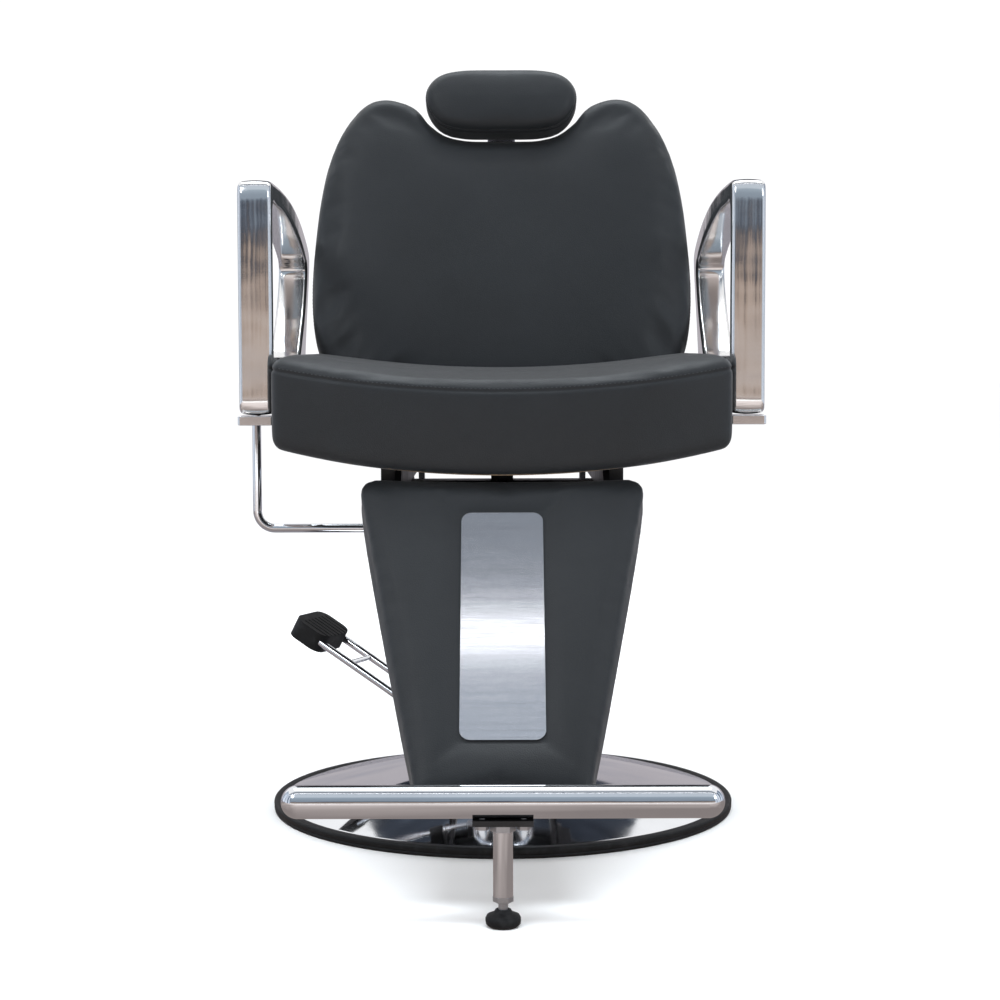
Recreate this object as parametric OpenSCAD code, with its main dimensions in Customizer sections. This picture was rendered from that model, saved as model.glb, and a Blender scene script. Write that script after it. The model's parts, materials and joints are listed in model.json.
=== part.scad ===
// Hydraulic barber chair with a reclining back, a coupled leg rest and a footrest bar.
// Origin: on the floor, on the axis of the pump column. Front is -Y, up is +Z. Millimetres.

/* [Base] */
// Radius of the round base, over its rubber edge
base_r = 299; // [280:1:300]
// Height of the rubber edge
base_edge_h = 13; // [10:1:16]
// Rise of the chrome cover at the pump
base_dome_h = 62; // [60:1:66]

/* [Pump] */
// Outside radius of the chrome pump housing
housing_r = 50; // [48:1:52]
// Height of the top of the pump housing
housing_top = 250; // [240:1:255]
// Radius of the lifting piston
piston_r = 28; // [26:1:30]
// Direction of the pump pedal, counter-clockwise from +X
pedal_heading = 155; // [140:1:170]
// Upward slope of the pump pedal at rest
pedal_rise = 29; // [26:1:30]

/* [Seat] */
// Width of the seat cushion
seat_w = 542; // [530:1:542]
// Y of the middle of the seat front
seat_front = -310; // [-315:1:-300]
// Y of the back of the seat cushion
seat_rear = 140; // [130:1:142]
// Height of the seat top at its middle
seat_top = 566; // [560:1:575]
// Height of the underside of the seat board at its middle
seat_base = 450; // [450:1:452]

/* [Arms] */
// Height of the top of the arms
arm_top = 800; // [790:1:810]
// Width of each arm
arm_w = 41; // [38:1:44]
// Distance from the middle to the inside of each arm
arm_in = 276; // [276:1:283]

/* [Back] */
// Lean of the back from upright
back_lean = 16; // [15:1:17]
// Thickness of the back cushion
back_t = 78; // [70:1:80]

/* [Headrest] */
// Thickness of the headrest pad
head_t = 60; // [50:1:62]

/* [Leg rest] */
// Half the width of the leg rest at the top
leg_top_half = 165; // [156:1:165]
// Half the width of the leg rest at the bottom
leg_bottom_half = 95; // [85:1:100]
// Width of the footrest bar over its caps
bar_w = 458; // [420:1:480]

/* [Hidden] */
$fn = 96;

run_gap = 0.05;
soft_gap = 0.3;

plate_t = 10;
flange_t = 10;
flange_r = 116;
flange_top = plate_t + flange_t;
cover_t = 2.5;
pump_bolt_pcd_r = 97;
pump_bolt_r = 5;
pump_bolt_angles = [for (i = [0:3]) pedal_heading + 45 + 90 * i];

cylinder_r = 38;
cylinder_bore_r = 33;
collar_r = housing_r + 2;
collar_top = housing_top + 18;
collar_spigot_r = housing_r - 6.2;
piston_low = 60;
piston_head_h = 20;
piston_shoulder = 366;
spindle_r = 18;
bearing_h = 8;

pedal_r = 64;
pedal_z = 94;
pin_r = 6;
hub_r = 11;
hub_half = 35;
rod_half_gap = 29;
rod_r = 5;
pad_near = 215;
pad_l = 54;
pad_half = 37;
pad_half_t = 13;
plunger_r = 6;
plunger_at = 94;
toe_drop = 10.7;
plunger_tip_gap = 0.2;

swivel_hub_low = piston_shoulder + bearing_h;
swivel_plate_low = 402;
swivel_plate_t = 8;
bar_t = 12;
crossbar_low = swivel_plate_low + swivel_plate_t;
rail_low = crossbar_low + bar_t;
rail_in = 120;
rail_out = 145;
rail_front = -215;
rail_rear = 215;
lug_t = 8;
ear_in = 110;
ear_out = 118;
board_t = 12;
board_sag = 30;
seat_half = seat_w / 2;
board_half = seat_half - 9;
board_arc = (board_half * board_half + board_sag * board_sag) / (2 * board_sag);
rail_top = seat_base + board_arc - sqrt(board_arc * board_arc - rail_in * rail_in) - 0.2;
top_arc = 1475;
cheek_t = 15;
cheek_front = -185;
cheek_rear = 100;
cheek_top = 560;

arm_foot = 517;
arm_front = -192;
arm_foot_t = 12;
bracket_t = 4;
arm_bolt_y = [-120, 60];
arm_bolt_z = 538;
arm_bolt_r = 4;

back_hinge_y = 232;
back_hinge_z = 474;
hinge_pin_r = 8;
link_vector = [22, -82];
link_pin_r = 6;
link_in = 99;
link_out = 107;
strut_crank = 40;
strut_crank_angle = 26;
strut_front_y = -60;
strut_z = 434;
strut_r = 10;
strut_rod_r = 5;
strut_pin_r = 4;
strut_eye_bore = 8.2;
strut_eye_r = 11.5;

back_low = 24;
cushion_back = -10;
cushion_front = cushion_back - back_t;
back_board_rear = 2.3;
upright_t = 8;
panel_front = 2.6;
panel_rear = 24;
sleeve_low = 240;
sleeve_top = 372;
post_w = 40;
post_t = 8;
post_y = 8;
post_low = 262;
post_top = 476;
head_low = 417;
head_front = -112;

leg_y = -258.8;
leg_z = 421.6;
leg_pin_r = 6;
leg_slope = 38;
leg_depth = 22;
leg_drop = 10;
leg_pad_t = 38;
leg_board_t = 12;
leg_len = 400;
spine_half = 31.5;
spine_t = 8;
spine_low = -408;
bar_y = -575;
bar_z = 131;
bar_r = 17.5;
bar_wall = 2.5;
cap_l = 17;
tongue_top = bar_z - bar_r;
tongue_t = 6;
foot_bolt_half = 21.5;
foot_leg_r = 10.4;

recline_y = 130;
recline_z = 352;
recline_r = 6;
recline_x = -334;
recline_top = 600;
bend_r = 24;

// One point on a smooth curve through four points
function curve_point(a, b, c, d, t) = 0.5 * (2 * b + (c - a) * t
    + (2 * a - 5 * b + 4 * c - d) * t * t + (3 * b - a - 3 * c + d) * t * t * t);

// Smooth closed curve through the points
function closed_curve(p, n) = [for (i = [0:len(p) - 1], k = [0:n - 1])
    curve_point(p[(i + len(p) - 1) % len(p)], p[i], p[(i + 1) % len(p)],
        p[(i + 2) % len(p)], k / n)];

// A half outline and its mirror image, as one loop
function both_sides(p) = concat(p, [for (i = [len(p) - 1:-1:0]) if (p[i][0] > 0) [-p[i][0], p[i][1]]]);

// Half outlines, from the middle of the top round to the middle of the bottom
back_half = [[0, 413], [50, 414], [82, 422], [101, 439], [113, 456], [133, 470], [160, 477],
    [186, 472], [209, 452], [233, 412], [253, 345], [264, 240], [266, 180], [260, 122],
    [246, 84], [222, 46], [185, 27], [120, back_low], [0, back_low]];
head_half = [[0, 508], [60, 507], [92, 497], [107, 474], [103, 450], [86, 428], [56, 418],
    [0, head_low]];

// Side outlines of an arm, as [Y, Z], outside and inside the loop
arm_outer = [[-192, 528], [-192, 560], [-192, 650], [-192, arm_top - 40], [-190, arm_top - 12],
    [-178, arm_top - 1], [-120, arm_top], [-20, arm_top - 3], [80, arm_top - 11],
    [180, arm_top - 27], [262, arm_top - 49], [302, arm_top - 66], [308, arm_top - 84],
    [290, arm_top - 122], [258, arm_top - 175], [235, 580], [222, 545], [205, 522], [180, 517],
    [60, 517], [-100, 517], [-172, 517], [-186, 518.5]];
arm_inner = [[-168, 585], [-169, 650], [-169, arm_top - 60], [-165, arm_top - 34],
    [-145, arm_top - 26], [-90, arm_top - 26], [0, arm_top - 30], [90, arm_top - 41],
    [180, arm_top - 58], [245, arm_top - 76], [268, arm_top - 88], [262, arm_top - 110],
    [225, arm_top - 155], [180, arm_top - 192], [140, 583], [60, 566], [-60, 562], [-140, 566]];

module mirror_pair() {
    children();
    mirror([1, 0, 0]) children();
}

module along_x(x0, x1) {
    translate([x0, 0, 0]) rotate([90, 0, 90]) linear_extrude(x1 - x0) children();
}

module rod_x(x0, x1, y, z, r) {
    translate([x0, y, z]) rotate([0, 90, 0]) cylinder(r = r, h = x1 - x0);
}

module block(x0, x1, y0, y1, z0, z1) {
    translate([x0, y0, z0]) cube([x1 - x0, y1 - y0, z1 - z0]);
}

module rounded_rectangle(w, h, r) {
    square([w - 2 * r, h], center = true);
    square([w, h - 2 * r], center = true);
    for (x = [-1, 1], y = [-1, 1]) translate([x * (w / 2 - r), y * (h / 2 - r)]) circle(r = r);
}

module at_pedal() {
    rotate([0, 0, pedal_heading]) children();
}

module pedal_slope() {
    at_pedal() translate([pedal_r, 0, pedal_z]) rotate([0, -pedal_rise, 0]) children();
}

module back_pose() {
    translate([0, back_hinge_y, back_hinge_z]) rotate([-back_lean, 0, 0]) children();
}

module leg_pose() {
    translate([0, leg_y, leg_z]) rotate([-leg_slope, 0, 0]) translate([0, -leg_depth, leg_drop])
        children();
}

// Extrudes an outline drawn in X and Z, from y0 to y1
module slab(y0, y1) {
    translate([0, y1, 0]) rotate([90, 0, 0]) linear_extrude(y1 - y0) children();
}

// ---------------------------------------------------------------- base

module base_edge() {
    edge_in = base_r - 10;
    color("#1b1b1d") rotate_extrude($fn = 180) union() {
        translate([edge_in, 0]) square([10 - 3, base_edge_h]);
        translate([edge_in, 0]) square([10, base_edge_h - 3]);
        translate([base_r - 3, base_edge_h - 3]) circle(r = 3, $fn = 32);
    }
}

module base_plate() {
    color("#3a3a3c") difference() {
        cylinder(r = base_r - 10.2, h = plate_t, $fn = 180);
        for (a = pump_bolt_angles) rotate([0, 0, a]) translate([pump_bolt_pcd_r, 0, 2])
            cylinder(r = pump_bolt_r + 0.2, h = plate_t);
    }
}

// Height of the top of the cover at a radius
function dome_z(r) = base_edge_h - 1 + (base_dome_h - base_edge_h + 1)
    * (1 - pow((r - housing_r) / (base_r - 10.4 - housing_r), 1.35));

module base_cover() {
    rim = base_r - 10.4;
    hole = housing_r + 0.4;
    steps = 14;
    radii = [for (i = [0:steps]) hole + (rim - hole) * i / steps];
    color("#d9d9dc") difference() {
        rotate_extrude($fn = 180) polygon(concat(
            [for (r = radii) [r, dome_z(r)]],
            [for (i = [steps:-1:0]) [radii[i], max(plate_t + 0.1, dome_z(radii[i]) - cover_t)]]));
        at_pedal() translate([plunger_at, 0, plate_t + 15]) cylinder(r = plunger_r + 2.5, h = 60);
    }
}

// ---------------------------------------------------------------- pump

module pump_flange() {
    color("#57585a") translate([0, 0, plate_t]) difference() {
        cylinder(r = flange_r, h = flange_t);
        for (a = pump_bolt_angles) rotate([0, 0, a]) translate([pump_bolt_pcd_r, 0, -1])
            cylinder(r = pump_bolt_r + 0.3, h = flange_t + 2);
    }
}

module pump_block() {
    color("#57585a") at_pedal() difference() {
        block(76, 112, -18, 18, flange_top, 44);
        translate([plunger_at, 0, flange_top + 3]) cylinder(r = plunger_r + run_gap, h = 60);
    }
}

module pump_bolts() {
    color("#8b8c90") for (a = pump_bolt_angles) rotate([0, 0, a])
        translate([pump_bolt_pcd_r, 0, 0]) {
            translate([0, 0, 4]) cylinder(r = pump_bolt_r, h = flange_top - 4);
            translate([0, 0, flange_top]) cylinder(r = 9.2, h = 7, $fn = 6);
        }
}

module pump_housing() {
    color("#d9d9dc") translate([0, 0, flange_top]) difference() {
        cylinder(r = housing_r, h = housing_top - flange_top);
        translate([0, 0, -1]) cylinder(r = housing_r - 6, h = housing_top);
    }
}

module pump_cylinder() {
    color("#8b8c90") translate([0, 0, flange_top]) difference() {
        cylinder(r = cylinder_r, h = housing_top - 14 - flange_top);
        translate([0, 0, 6]) cylinder(r = cylinder_bore_r, h = housing_top);
    }
}

module pump_collar() {
    seal_low = collar_top - 9;
    color("#d9d9dc") difference() {
        union() {
            translate([0, 0, housing_top - 13.5]) cylinder(r = collar_spigot_r, h = 14);
            translate([0, 0, housing_top]) cylinder(r = collar_r, h = 13);
            translate([0, 0, housing_top + 13]) cylinder(r1 = collar_r, r2 = collar_r - 5, h = 5);
        }
        translate([0, 0, housing_top - 20]) cylinder(r = piston_r + run_gap, h = 60);
        translate([0, 0, seal_low]) cylinder(r = piston_r + 5, h = 5);
    }
}

module rod_seal() {
    color("#1b1b1d") translate([0, 0, collar_top - 8.9]) difference() {
        cylinder(r = piston_r + 4.9, h = 4.8);
        translate([0, 0, -1]) cylinder(r = piston_r + run_gap, h = 8);
    }
}

module pump_plunger() {
    tip_centre = pedal_z - toe_drop - plunger_r - plunger_tip_gap;
    color("#b9babd") at_pedal() translate([plunger_at, 0, 0]) {
        translate([0, 0, 41]) cylinder(r = plunger_r, h = tip_centre - 41);
        translate([0, 0, tip_centre]) intersection() {
            sphere(r = plunger_r);
            cylinder(r = plunger_r + 1, h = plunger_r + 1);
        }
    }
}

// ---------------------------------------------------------------- pump pedal

module pedal_bracket() {
    color("#57585a") difference() {
        at_pedal() for (t = [-1, 1]) translate([0, t * (hub_half + 4.5), 0])
            rotate([90, 0, 0]) translate([0, 0, -3.5]) linear_extrude(7) difference() {
                union() {
                    translate([20, pedal_z - 18]) square([pedal_r - 20, 32]);
                    translate([pedal_r, pedal_z - 2]) circle(r = 15.5);
                }
                translate([pedal_r, pedal_z]) circle(r = pin_r + 0.02);
            }
        translate([0, 0, 50]) cylinder(r = housing_r, h = 80);
    }
}

module pedal_pin() {
    end = hub_half + 11;
    color("#b9babd") at_pedal() translate([pedal_r, 0, pedal_z]) rotate([90, 0, 0]) {
        translate([0, 0, -end]) cylinder(r = pin_r, h = 2 * end);
        translate([0, 0, end]) cylinder(r = 9, h = 3);
        translate([0, 0, -end - 3]) cylinder(r = 9, h = 3);
    }
}

module pedal_hub() {
    color("#57585a") at_pedal() difference() {
        union() {
            translate([pedal_r, hub_half, pedal_z]) rotate([90, 0, 0])
                cylinder(r = hub_r, h = 2 * hub_half);
            block(pedal_r, plunger_at + 11, -8, 8, pedal_z - toe_drop, pedal_z + 4);
        }
        translate([pedal_r, hub_half + 1, pedal_z]) rotate([90, 0, 0])
            cylinder(r = pin_r + run_gap, h = 2 * hub_half + 2);
    }
}

module pedal_rods() {
    color("#d9d9dc") difference() {
        pedal_slope() for (t = [-1, 1]) translate([6, t * rod_half_gap, 0]) rotate([0, 90, 0])
            cylinder(r = rod_r, h = pad_near + 38 - 6);
        at_pedal() translate([pedal_r, hub_half + 20, pedal_z]) rotate([90, 0, 0])
            cylinder(r = hub_r, h = 2 * hub_half + 40);
    }
}

module pedal_tie() {
    color("#d9d9dc") difference() {
        pedal_slope() translate([170, rod_half_gap, 0]) rotate([90, 0, 0])
            cylinder(r = 3.5, h = 2 * rod_half_gap);
        pedal_slope() for (t = [-1, 1]) translate([6, t * rod_half_gap, 0]) rotate([0, 90, 0])
            cylinder(r = rod_r, h = pad_near);
    }
}

module pedal_pad() {
    corner = 16;
    color("#1b1b1d") pedal_slope() difference() {
        translate([pad_near + pad_l / 2, 0, -pad_half_t]) linear_extrude(2 * pad_half_t)
            rounded_rectangle(pad_l, 2 * pad_half, corner);
        for (t = [-1, 1]) translate([pad_near - 1, t * rod_half_gap, 0]) rotate([0, 90, 0])
            cylinder(r = rod_r, h = 39);
        for (i = [-3:3]) translate([pad_near + pad_l + 30, i * 9, 0]) rotate([0, 90, 0])
            translate([-pad_half_t - 1, 0, -90]) cylinder(r = 2, h = 48);
    }
}

// ---------------------------------------------------------------- piston and swivel

module piston_rod() {
    color("#d9d9dc") {
        translate([0, 0, piston_low]) cylinder(r = piston_r, h = piston_shoulder - piston_low);
        translate([0, 0, piston_shoulder]) cylinder(r = spindle_r, h = 30);
    }
}

module piston_head() {
    color("#57585a") translate([0, 0, piston_low]) difference() {
        cylinder(r = cylinder_bore_r - run_gap, h = piston_head_h);
        translate([0, 0, -1]) cylinder(r = piston_r, h = piston_head_h + 2);
    }
}

module thrust_bearing() {
    color("#b9babd") translate([0, 0, piston_shoulder]) difference() {
        cylinder(r = piston_r + 1, h = bearing_h - 0.05);
        translate([0, 0, -1]) cylinder(r = spindle_r + 0.02, h = bearing_h + 2);
    }
}

module swivel_hub() {
    color("#3a3a3c") difference() {
        union() {
            translate([0, 0, swivel_hub_low])
                cylinder(r = 30, h = swivel_plate_low - swivel_hub_low);
            block(-85, 85, -95, 95, swivel_plate_low, crossbar_low);
        }
        translate([0, 0, swivel_hub_low - 1]) cylinder(r = spindle_r + run_gap, h = 25);
        for (x = [-62, 62], y = [-75, 75]) translate([x, y, swivel_plate_low - 1])
            cylinder(r = 4.3, h = 12);
    }
}

module swivel_bolts() {
    color("#8b8c90") for (x = [-62, 62], y = [-75, 75]) translate([x, y, 0]) {
        translate([0, 0, swivel_plate_low - 5.5]) cylinder(r = 7.5, h = 5.5, $fn = 6);
        translate([0, 0, swivel_plate_low]) cylinder(r = 4, h = 16);
    }
}

// ---------------------------------------------------------------- seat frame

module seat_rail() {
    color("#3a3a3c") {
        difference() {
            block(rail_in, rail_out, rail_front, rail_rear, rail_low, rail_top);
            block(rail_in + 3, rail_out - 3, rail_front + 3, rail_rear - 3, rail_low + 3,
                rail_top - 3);
        }
        along_x(rail_in, rail_in + lug_t) difference() {
            union() {
                polygon([[rail_front, rail_low], [rail_front, rail_top], [leg_y + 13, leg_z + 12.5],
                    [leg_y, leg_z + 12.5], [leg_y, leg_z - 12.5], [rail_front - 12, leg_z - 13]]);
                translate([leg_y, leg_z]) circle(r = 13);
            }
            translate([leg_y, leg_z]) circle(r = leg_pin_r + run_gap);
        }
        along_x(rail_in, rail_in + lug_t) difference() {
            union() {
                polygon([[rail_rear, rail_low], [rail_rear, rail_top], [back_hinge_y - 16,
                    back_hinge_z], [back_hinge_y + 16, back_hinge_z], [back_hinge_y + 12,
                    rail_low + 12]]);
                translate([back_hinge_y, back_hinge_z]) circle(r = 16);
            }
            translate([back_hinge_y, back_hinge_z]) circle(r = hinge_pin_r + run_gap);
        }
    }
}

module seat_rail_right() {
    seat_rail();
}

module seat_rail_left() {
    mirror([1, 0, 0]) seat_rail();
}

module seat_crossbars() {
    color("#3a3a3c") for (y = [-188, -75, 75]) difference() {
        block(-rail_out, rail_out, y - 20, y + 20, crossbar_low, rail_low);
        for (x = [-62, 62]) translate([x, y, crossbar_low - 1]) cylinder(r = 4.3, h = bar_t - 2);
    }
}

module seat_board() {
    color("#a5834f") {
        intersection() {
            translate([0, 0, seat_base - 1]) linear_extrude(60) intersection() {
                seat_plan(9);
                translate([-board_half, seat_front]) square([2 * board_half, 420]);
            }
            difference() {
                translate([0, seat_rear, seat_base + board_arc]) rotate([90, 0, 0])
                    cylinder(r = board_arc, h = 500, $fn = 360);
                translate([0, seat_rear + 1, seat_base + board_arc]) rotate([90, 0, 0])
                    cylinder(r = board_arc - board_t, h = 502, $fn = 360);
            }
        }
        mirror_pair() difference() {
            block(board_half - cheek_t, board_half, cheek_front, cheek_rear, seat_base + 33,
                cheek_top - 14);
            for (y = arm_bolt_y) rod_x(board_half - cheek_t - 1, board_half + 1, y, arm_bolt_z,
                arm_bolt_r + 0.1);
        }
    }
}

// Plan of the seat, bowed at the front, drawn in by an inset all round
module seat_plan(inset = 0) {
    corner = 34;
    rear_corner = 22;
    bow = 46;
    bow_r = (seat_half * seat_half + bow * bow) / (2 * bow);
    intersection() {
        translate([0, seat_front + bow_r]) circle(r = bow_r - inset, $fn = 360);
        hull() for (s = [-1, 1]) {
            translate([s * (seat_half - corner), seat_front + 20 + corner]) circle(r = corner - inset);
            translate([s * (seat_half - rear_corner), seat_rear - rear_corner])
                circle(r = rear_corner - inset);
        }
    }
}

module seat_cushion() {
    bottom_arc = board_arc - board_t - soft_gap;
    color("#3f454b") difference() {
        intersection() {
            translate([0, 0, seat_base]) linear_extrude(200) seat_plan();
            translate([0, seat_rear + 1, seat_base + board_arc]) rotate([90, 0, 0])
                cylinder(r = bottom_arc, h = 600, $fn = 360);
        }
        translate([0, seat_rear + 2, seat_top + top_arc]) rotate([90, 0, 0])
            cylinder(r = top_arc, h = 602, $fn = 360);
        mirror_pair() {
            block(board_half - cheek_t - soft_gap, board_half + soft_gap, cheek_front - soft_gap,
                cheek_rear + soft_gap, seat_base, cheek_top - 14 + soft_gap);
            for (y = arm_bolt_y) rod_x(board_half - cheek_t - 8, seat_half + 1, y, arm_bolt_z, 5);
        }
    }
}

// ---------------------------------------------------------------- arms

module arm() {
    color("#d9d9dc") difference() {
        along_x(arm_in, arm_in + arm_w) difference() {
            polygon(closed_curve(arm_outer, 5));
            polygon(closed_curve(arm_inner, 5));
        }
        for (y = arm_bolt_y) {
            rod_x(arm_in - 1, arm_in + arm_w + 1, y, arm_bolt_z, arm_bolt_r + 0.2);
            rod_x(arm_in + arm_w - 9, arm_in + arm_w + 1, y, arm_bolt_z, 7);
        }
    }
}

module arm_right() {
    arm();
}

module arm_left() {
    mirror([1, 0, 0]) arm();
}

module arm_foot_plates() {
    color("#d9d9dc") mirror_pair()
        block(arm_in - 1, arm_in + arm_w + 1.5, arm_front - 2, arm_front + 34,
            arm_foot - arm_foot_t, arm_foot - 0.6);
}

module arm_brackets() {
    color("#232325") mirror_pair() difference() {
        translate([arm_in - bracket_t, 0, 0]) rotate([90, 0, 90]) linear_extrude(bracket_t - 0.05)
            translate([-30, 552]) rounded_rectangle(300, 68, 16);
        for (y = arm_bolt_y) rod_x(arm_in - bracket_t - 1, arm_in + 1, y, arm_bolt_z,
            arm_bolt_r + 0.2);
    }
}

module arm_bolts() {
    color("#8b8c90") mirror_pair() for (y = arm_bolt_y) {
        rod_x(board_half - cheek_t - 4, arm_in + arm_w - 9, y, arm_bolt_z, arm_bolt_r);
        rod_x(arm_in + arm_w - 9, arm_in + arm_w - 1, y, arm_bolt_z, 6.5);
    }
}

// ---------------------------------------------------------------- recline lever

module recline_lever() {
    color("#d9d9dc") {
        rod_x(recline_x + bend_r, -38, recline_y, recline_z, recline_r);
        translate([recline_x + bend_r, recline_y, recline_z + bend_r]) rotate([90, 0, 0])
            rotate([0, 0, 180]) rotate_extrude(angle = 90) translate([bend_r, 0])
                circle(r = recline_r, $fn = 48);
        translate([recline_x, recline_y, recline_z + bend_r])
            cylinder(r = recline_r, h = recline_top - 40 - recline_z - bend_r);
    }
}

module recline_knob() {
    color("#1b1b1d") translate([recline_x, recline_y, recline_top - 40]) difference() {
        union() {
            cylinder(r1 = 8.5, r2 = 11, h = 40);
            translate([0, 0, 40]) sphere(r = 11);
        }
        translate([0, 0, -30]) cylinder(r = recline_r, h = 30);
    }
}

module recline_brackets() {
    color("#3a3a3c") {
        along_x(-rail_out, -rail_in) difference() {
            union() {
                translate([recline_y - 12, recline_z]) square([24, rail_low - recline_z]);
                translate([recline_y, recline_z]) circle(r = 12);
            }
            translate([recline_y, recline_z]) circle(r = recline_r + run_gap);
        }
        along_x(-52, -44) difference() {
            union() {
                polygon([[62, swivel_plate_low], [recline_y - 12, recline_z],
                    [recline_y + 12, recline_z], [94, swivel_plate_low]]);
                translate([recline_y, recline_z]) circle(r = 12);
            }
            translate([recline_y, recline_z]) circle(r = recline_r + run_gap);
        }
    }
}

module release_arm() {
    color("#57585a") along_x(-72, -62) difference() {
        union() {
            translate([recline_y - 5, recline_z]) square([10, 34]);
            translate([recline_y, recline_z]) circle(r = 12);
            translate([recline_y, recline_z + 34]) circle(r = 5);
        }
        translate([recline_y, recline_z]) circle(r = recline_r);
    }
}

// ---------------------------------------------------------------- recline lock and links

strut_end = [back_hinge_y + strut_crank * sin(strut_crank_angle),
    back_hinge_z - strut_crank * cos(strut_crank_angle)];
strut_span = sqrt(pow(strut_end[0] - strut_front_y, 2) + pow(strut_end[1] - strut_z, 2));
strut_tilt = atan2(strut_end[1] - strut_z, strut_end[0] - strut_front_y);
strut_tube_l = 168;

module strut_pose() {
    translate([0, strut_front_y, strut_z]) rotate([strut_tilt, 0, 0]) children();
}

module strut_tube() {
    color("#232325") strut_pose() difference() {
        union() {
            translate([0, 9, 0]) rotate([-90, 0, 0]) cylinder(r = strut_r, h = strut_tube_l - 9);
            rod_x(-6, 6, 0, 0, 9.5);
        }
        rod_x(-7, 7, 0, 0, 5);
        translate([0, 22, 0]) rotate([-90, 0, 0]) cylinder(r = 8, h = strut_tube_l - 26);
        translate([0, strut_tube_l - 10, 0]) rotate([-90, 0, 0])
            cylinder(r = strut_rod_r + run_gap, h = 20);
    }
}

module strut_clevis() {
    color("#3a3a3c") {
        for (x = [-11, 7]) along_x(x, x + 4) difference() {
            union() {
                translate([strut_front_y - 9, rail_low]) square([18, strut_z - rail_low]);
                translate([strut_front_y, strut_z]) circle(r = 9);
            }
            translate([strut_front_y, strut_z]) circle(r = 4.95);
        }
        rod_x(-14, 14, strut_front_y, strut_z, 4.95);
    }
}

module strut_rod() {
    color("#b9babd") strut_pose() difference() {
        union() {
            translate([0, strut_tube_l - 60, 0]) rotate([-90, 0, 0])
                cylinder(r = strut_rod_r, h = strut_span - strut_tube_l + 60 - 8);
            rod_x(-6, 6, strut_span, 0, strut_eye_r);
            translate([0, strut_tube_l - 66, 0]) rotate([-90, 0, 0]) cylinder(r = 7.9, h = 10);
        }
        rod_x(-7, 7, strut_span, 0, strut_eye_bore);
    }
}

link_rear = [back_hinge_y + link_vector[0], back_hinge_z + link_vector[1]];
link_front = [leg_y + link_vector[0], leg_z + link_vector[1]];

module linkage_bars() {
    length = sqrt(pow(link_rear[0] - link_front[0], 2) + pow(link_rear[1] - link_front[1], 2));
    tilt = atan2(link_rear[1] - link_front[1], link_rear[0] - link_front[0]);
    color("#3a3a3c") mirror_pair() along_x(link_in, link_out) difference() {
        union() {
            translate(link_front) rotate([0, 0, tilt]) translate([0, -9]) square([length, 18]);
            translate(link_front) circle(r = 12);
            translate(link_rear) circle(r = 12);
        }
        translate(link_front) circle(r = link_pin_r + 0.4);
        translate(link_rear) circle(r = link_pin_r + run_gap);
    }
}

// ---------------------------------------------------------------- back

module back_hinge() {
    color("#3a3a3c") {
        mirror_pair() along_x(ear_in, ear_out) difference() {
            union() {
                translate([back_hinge_y, back_hinge_z]) circle(r = 18);
                translate([back_hinge_y, back_hinge_z]) rotate([0, 0, -back_lean])
                    polygon([[-14, 0], [17.5, 0], [17, 30], [9, 70], [4, 70], [4, 21], [-14, 12]]);
                polygon([[back_hinge_y - 15, back_hinge_z - 8], [back_hinge_y + 17, back_hinge_z - 4],
                    [link_rear[0] + 12, link_rear[1]], [link_rear[0] - 12, link_rear[1]]]);
                translate(link_rear) circle(r = 13);
            }
            translate([back_hinge_y, back_hinge_z]) circle(r = hinge_pin_r + 0.02);
            translate(link_rear) circle(r = link_pin_r + 0.02);
        }
        mirror_pair() back_pose() difference() {
            block(ear_in - 14, ear_out + 14, back_board_rear + 0.2, back_board_rear + upright_t, 27,
                330);
            for (z = [110, 200, 290]) translate([(ear_in + ear_out) / 2, 20, z])
                rotate([90, 0, 0]) cylinder(r = 3.2, h = 30);
        }
        difference() {
            rod_x(-ear_in, ear_in, back_hinge_y, back_hinge_z, 12);
            rod_x(-ear_in - 1, ear_in + 1, back_hinge_y, back_hinge_z, hinge_pin_r + 0.02);
        }
        for (x = [-16, 9]) along_x(x, x + 7) difference() {
            union() {
                translate([back_hinge_y, back_hinge_z]) circle(r = 16);
                polygon([[back_hinge_y - 9, back_hinge_z - 12], [back_hinge_y + 15, back_hinge_z - 4],
                    [strut_end[0] + 9, strut_end[1] + 2], [strut_end[0] - 9, strut_end[1] - 3]]);
                translate(strut_end) circle(r = 9);
            }
            translate([back_hinge_y, back_hinge_z]) circle(r = 11.9);
            translate(strut_end) circle(r = strut_pin_r + 0.02);
        }
    }
}

module back_pins() {
    color("#8b8c90") {
        mirror_pair() {
            rod_x(ear_in - 4, rail_in + lug_t + 2, back_hinge_y, back_hinge_z, hinge_pin_r);
            rod_x(rail_in + lug_t + 1, rail_in + lug_t + 6, back_hinge_y, back_hinge_z, 12);
            rod_x(link_in - 2, ear_out, link_rear[0], link_rear[1], link_pin_r);
            rod_x(link_in - 6, link_in - 2, link_rear[0], link_rear[1], 9);
        }
        rod_x(-18, 18, strut_end[0], strut_end[1], strut_pin_r);
    }
}

module back_outline(inset = 0) {
    offset(delta = -inset) polygon(closed_curve(both_sides(back_half), 4));
}

module back_board() {
    color("#a5834f") back_pose() slab(cushion_back + soft_gap, back_board_rear) difference() {
        back_outline(10);
        for (s = [-1, 1]) translate([s * (ear_in + ear_out) / 2, 0]) square([ear_out - ear_in + 4, 96],
            center = true);
    }
}

module back_cushion() {
    color("#3f454b") back_pose() slab(cushion_front, cushion_back) back_outline();
}

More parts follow.
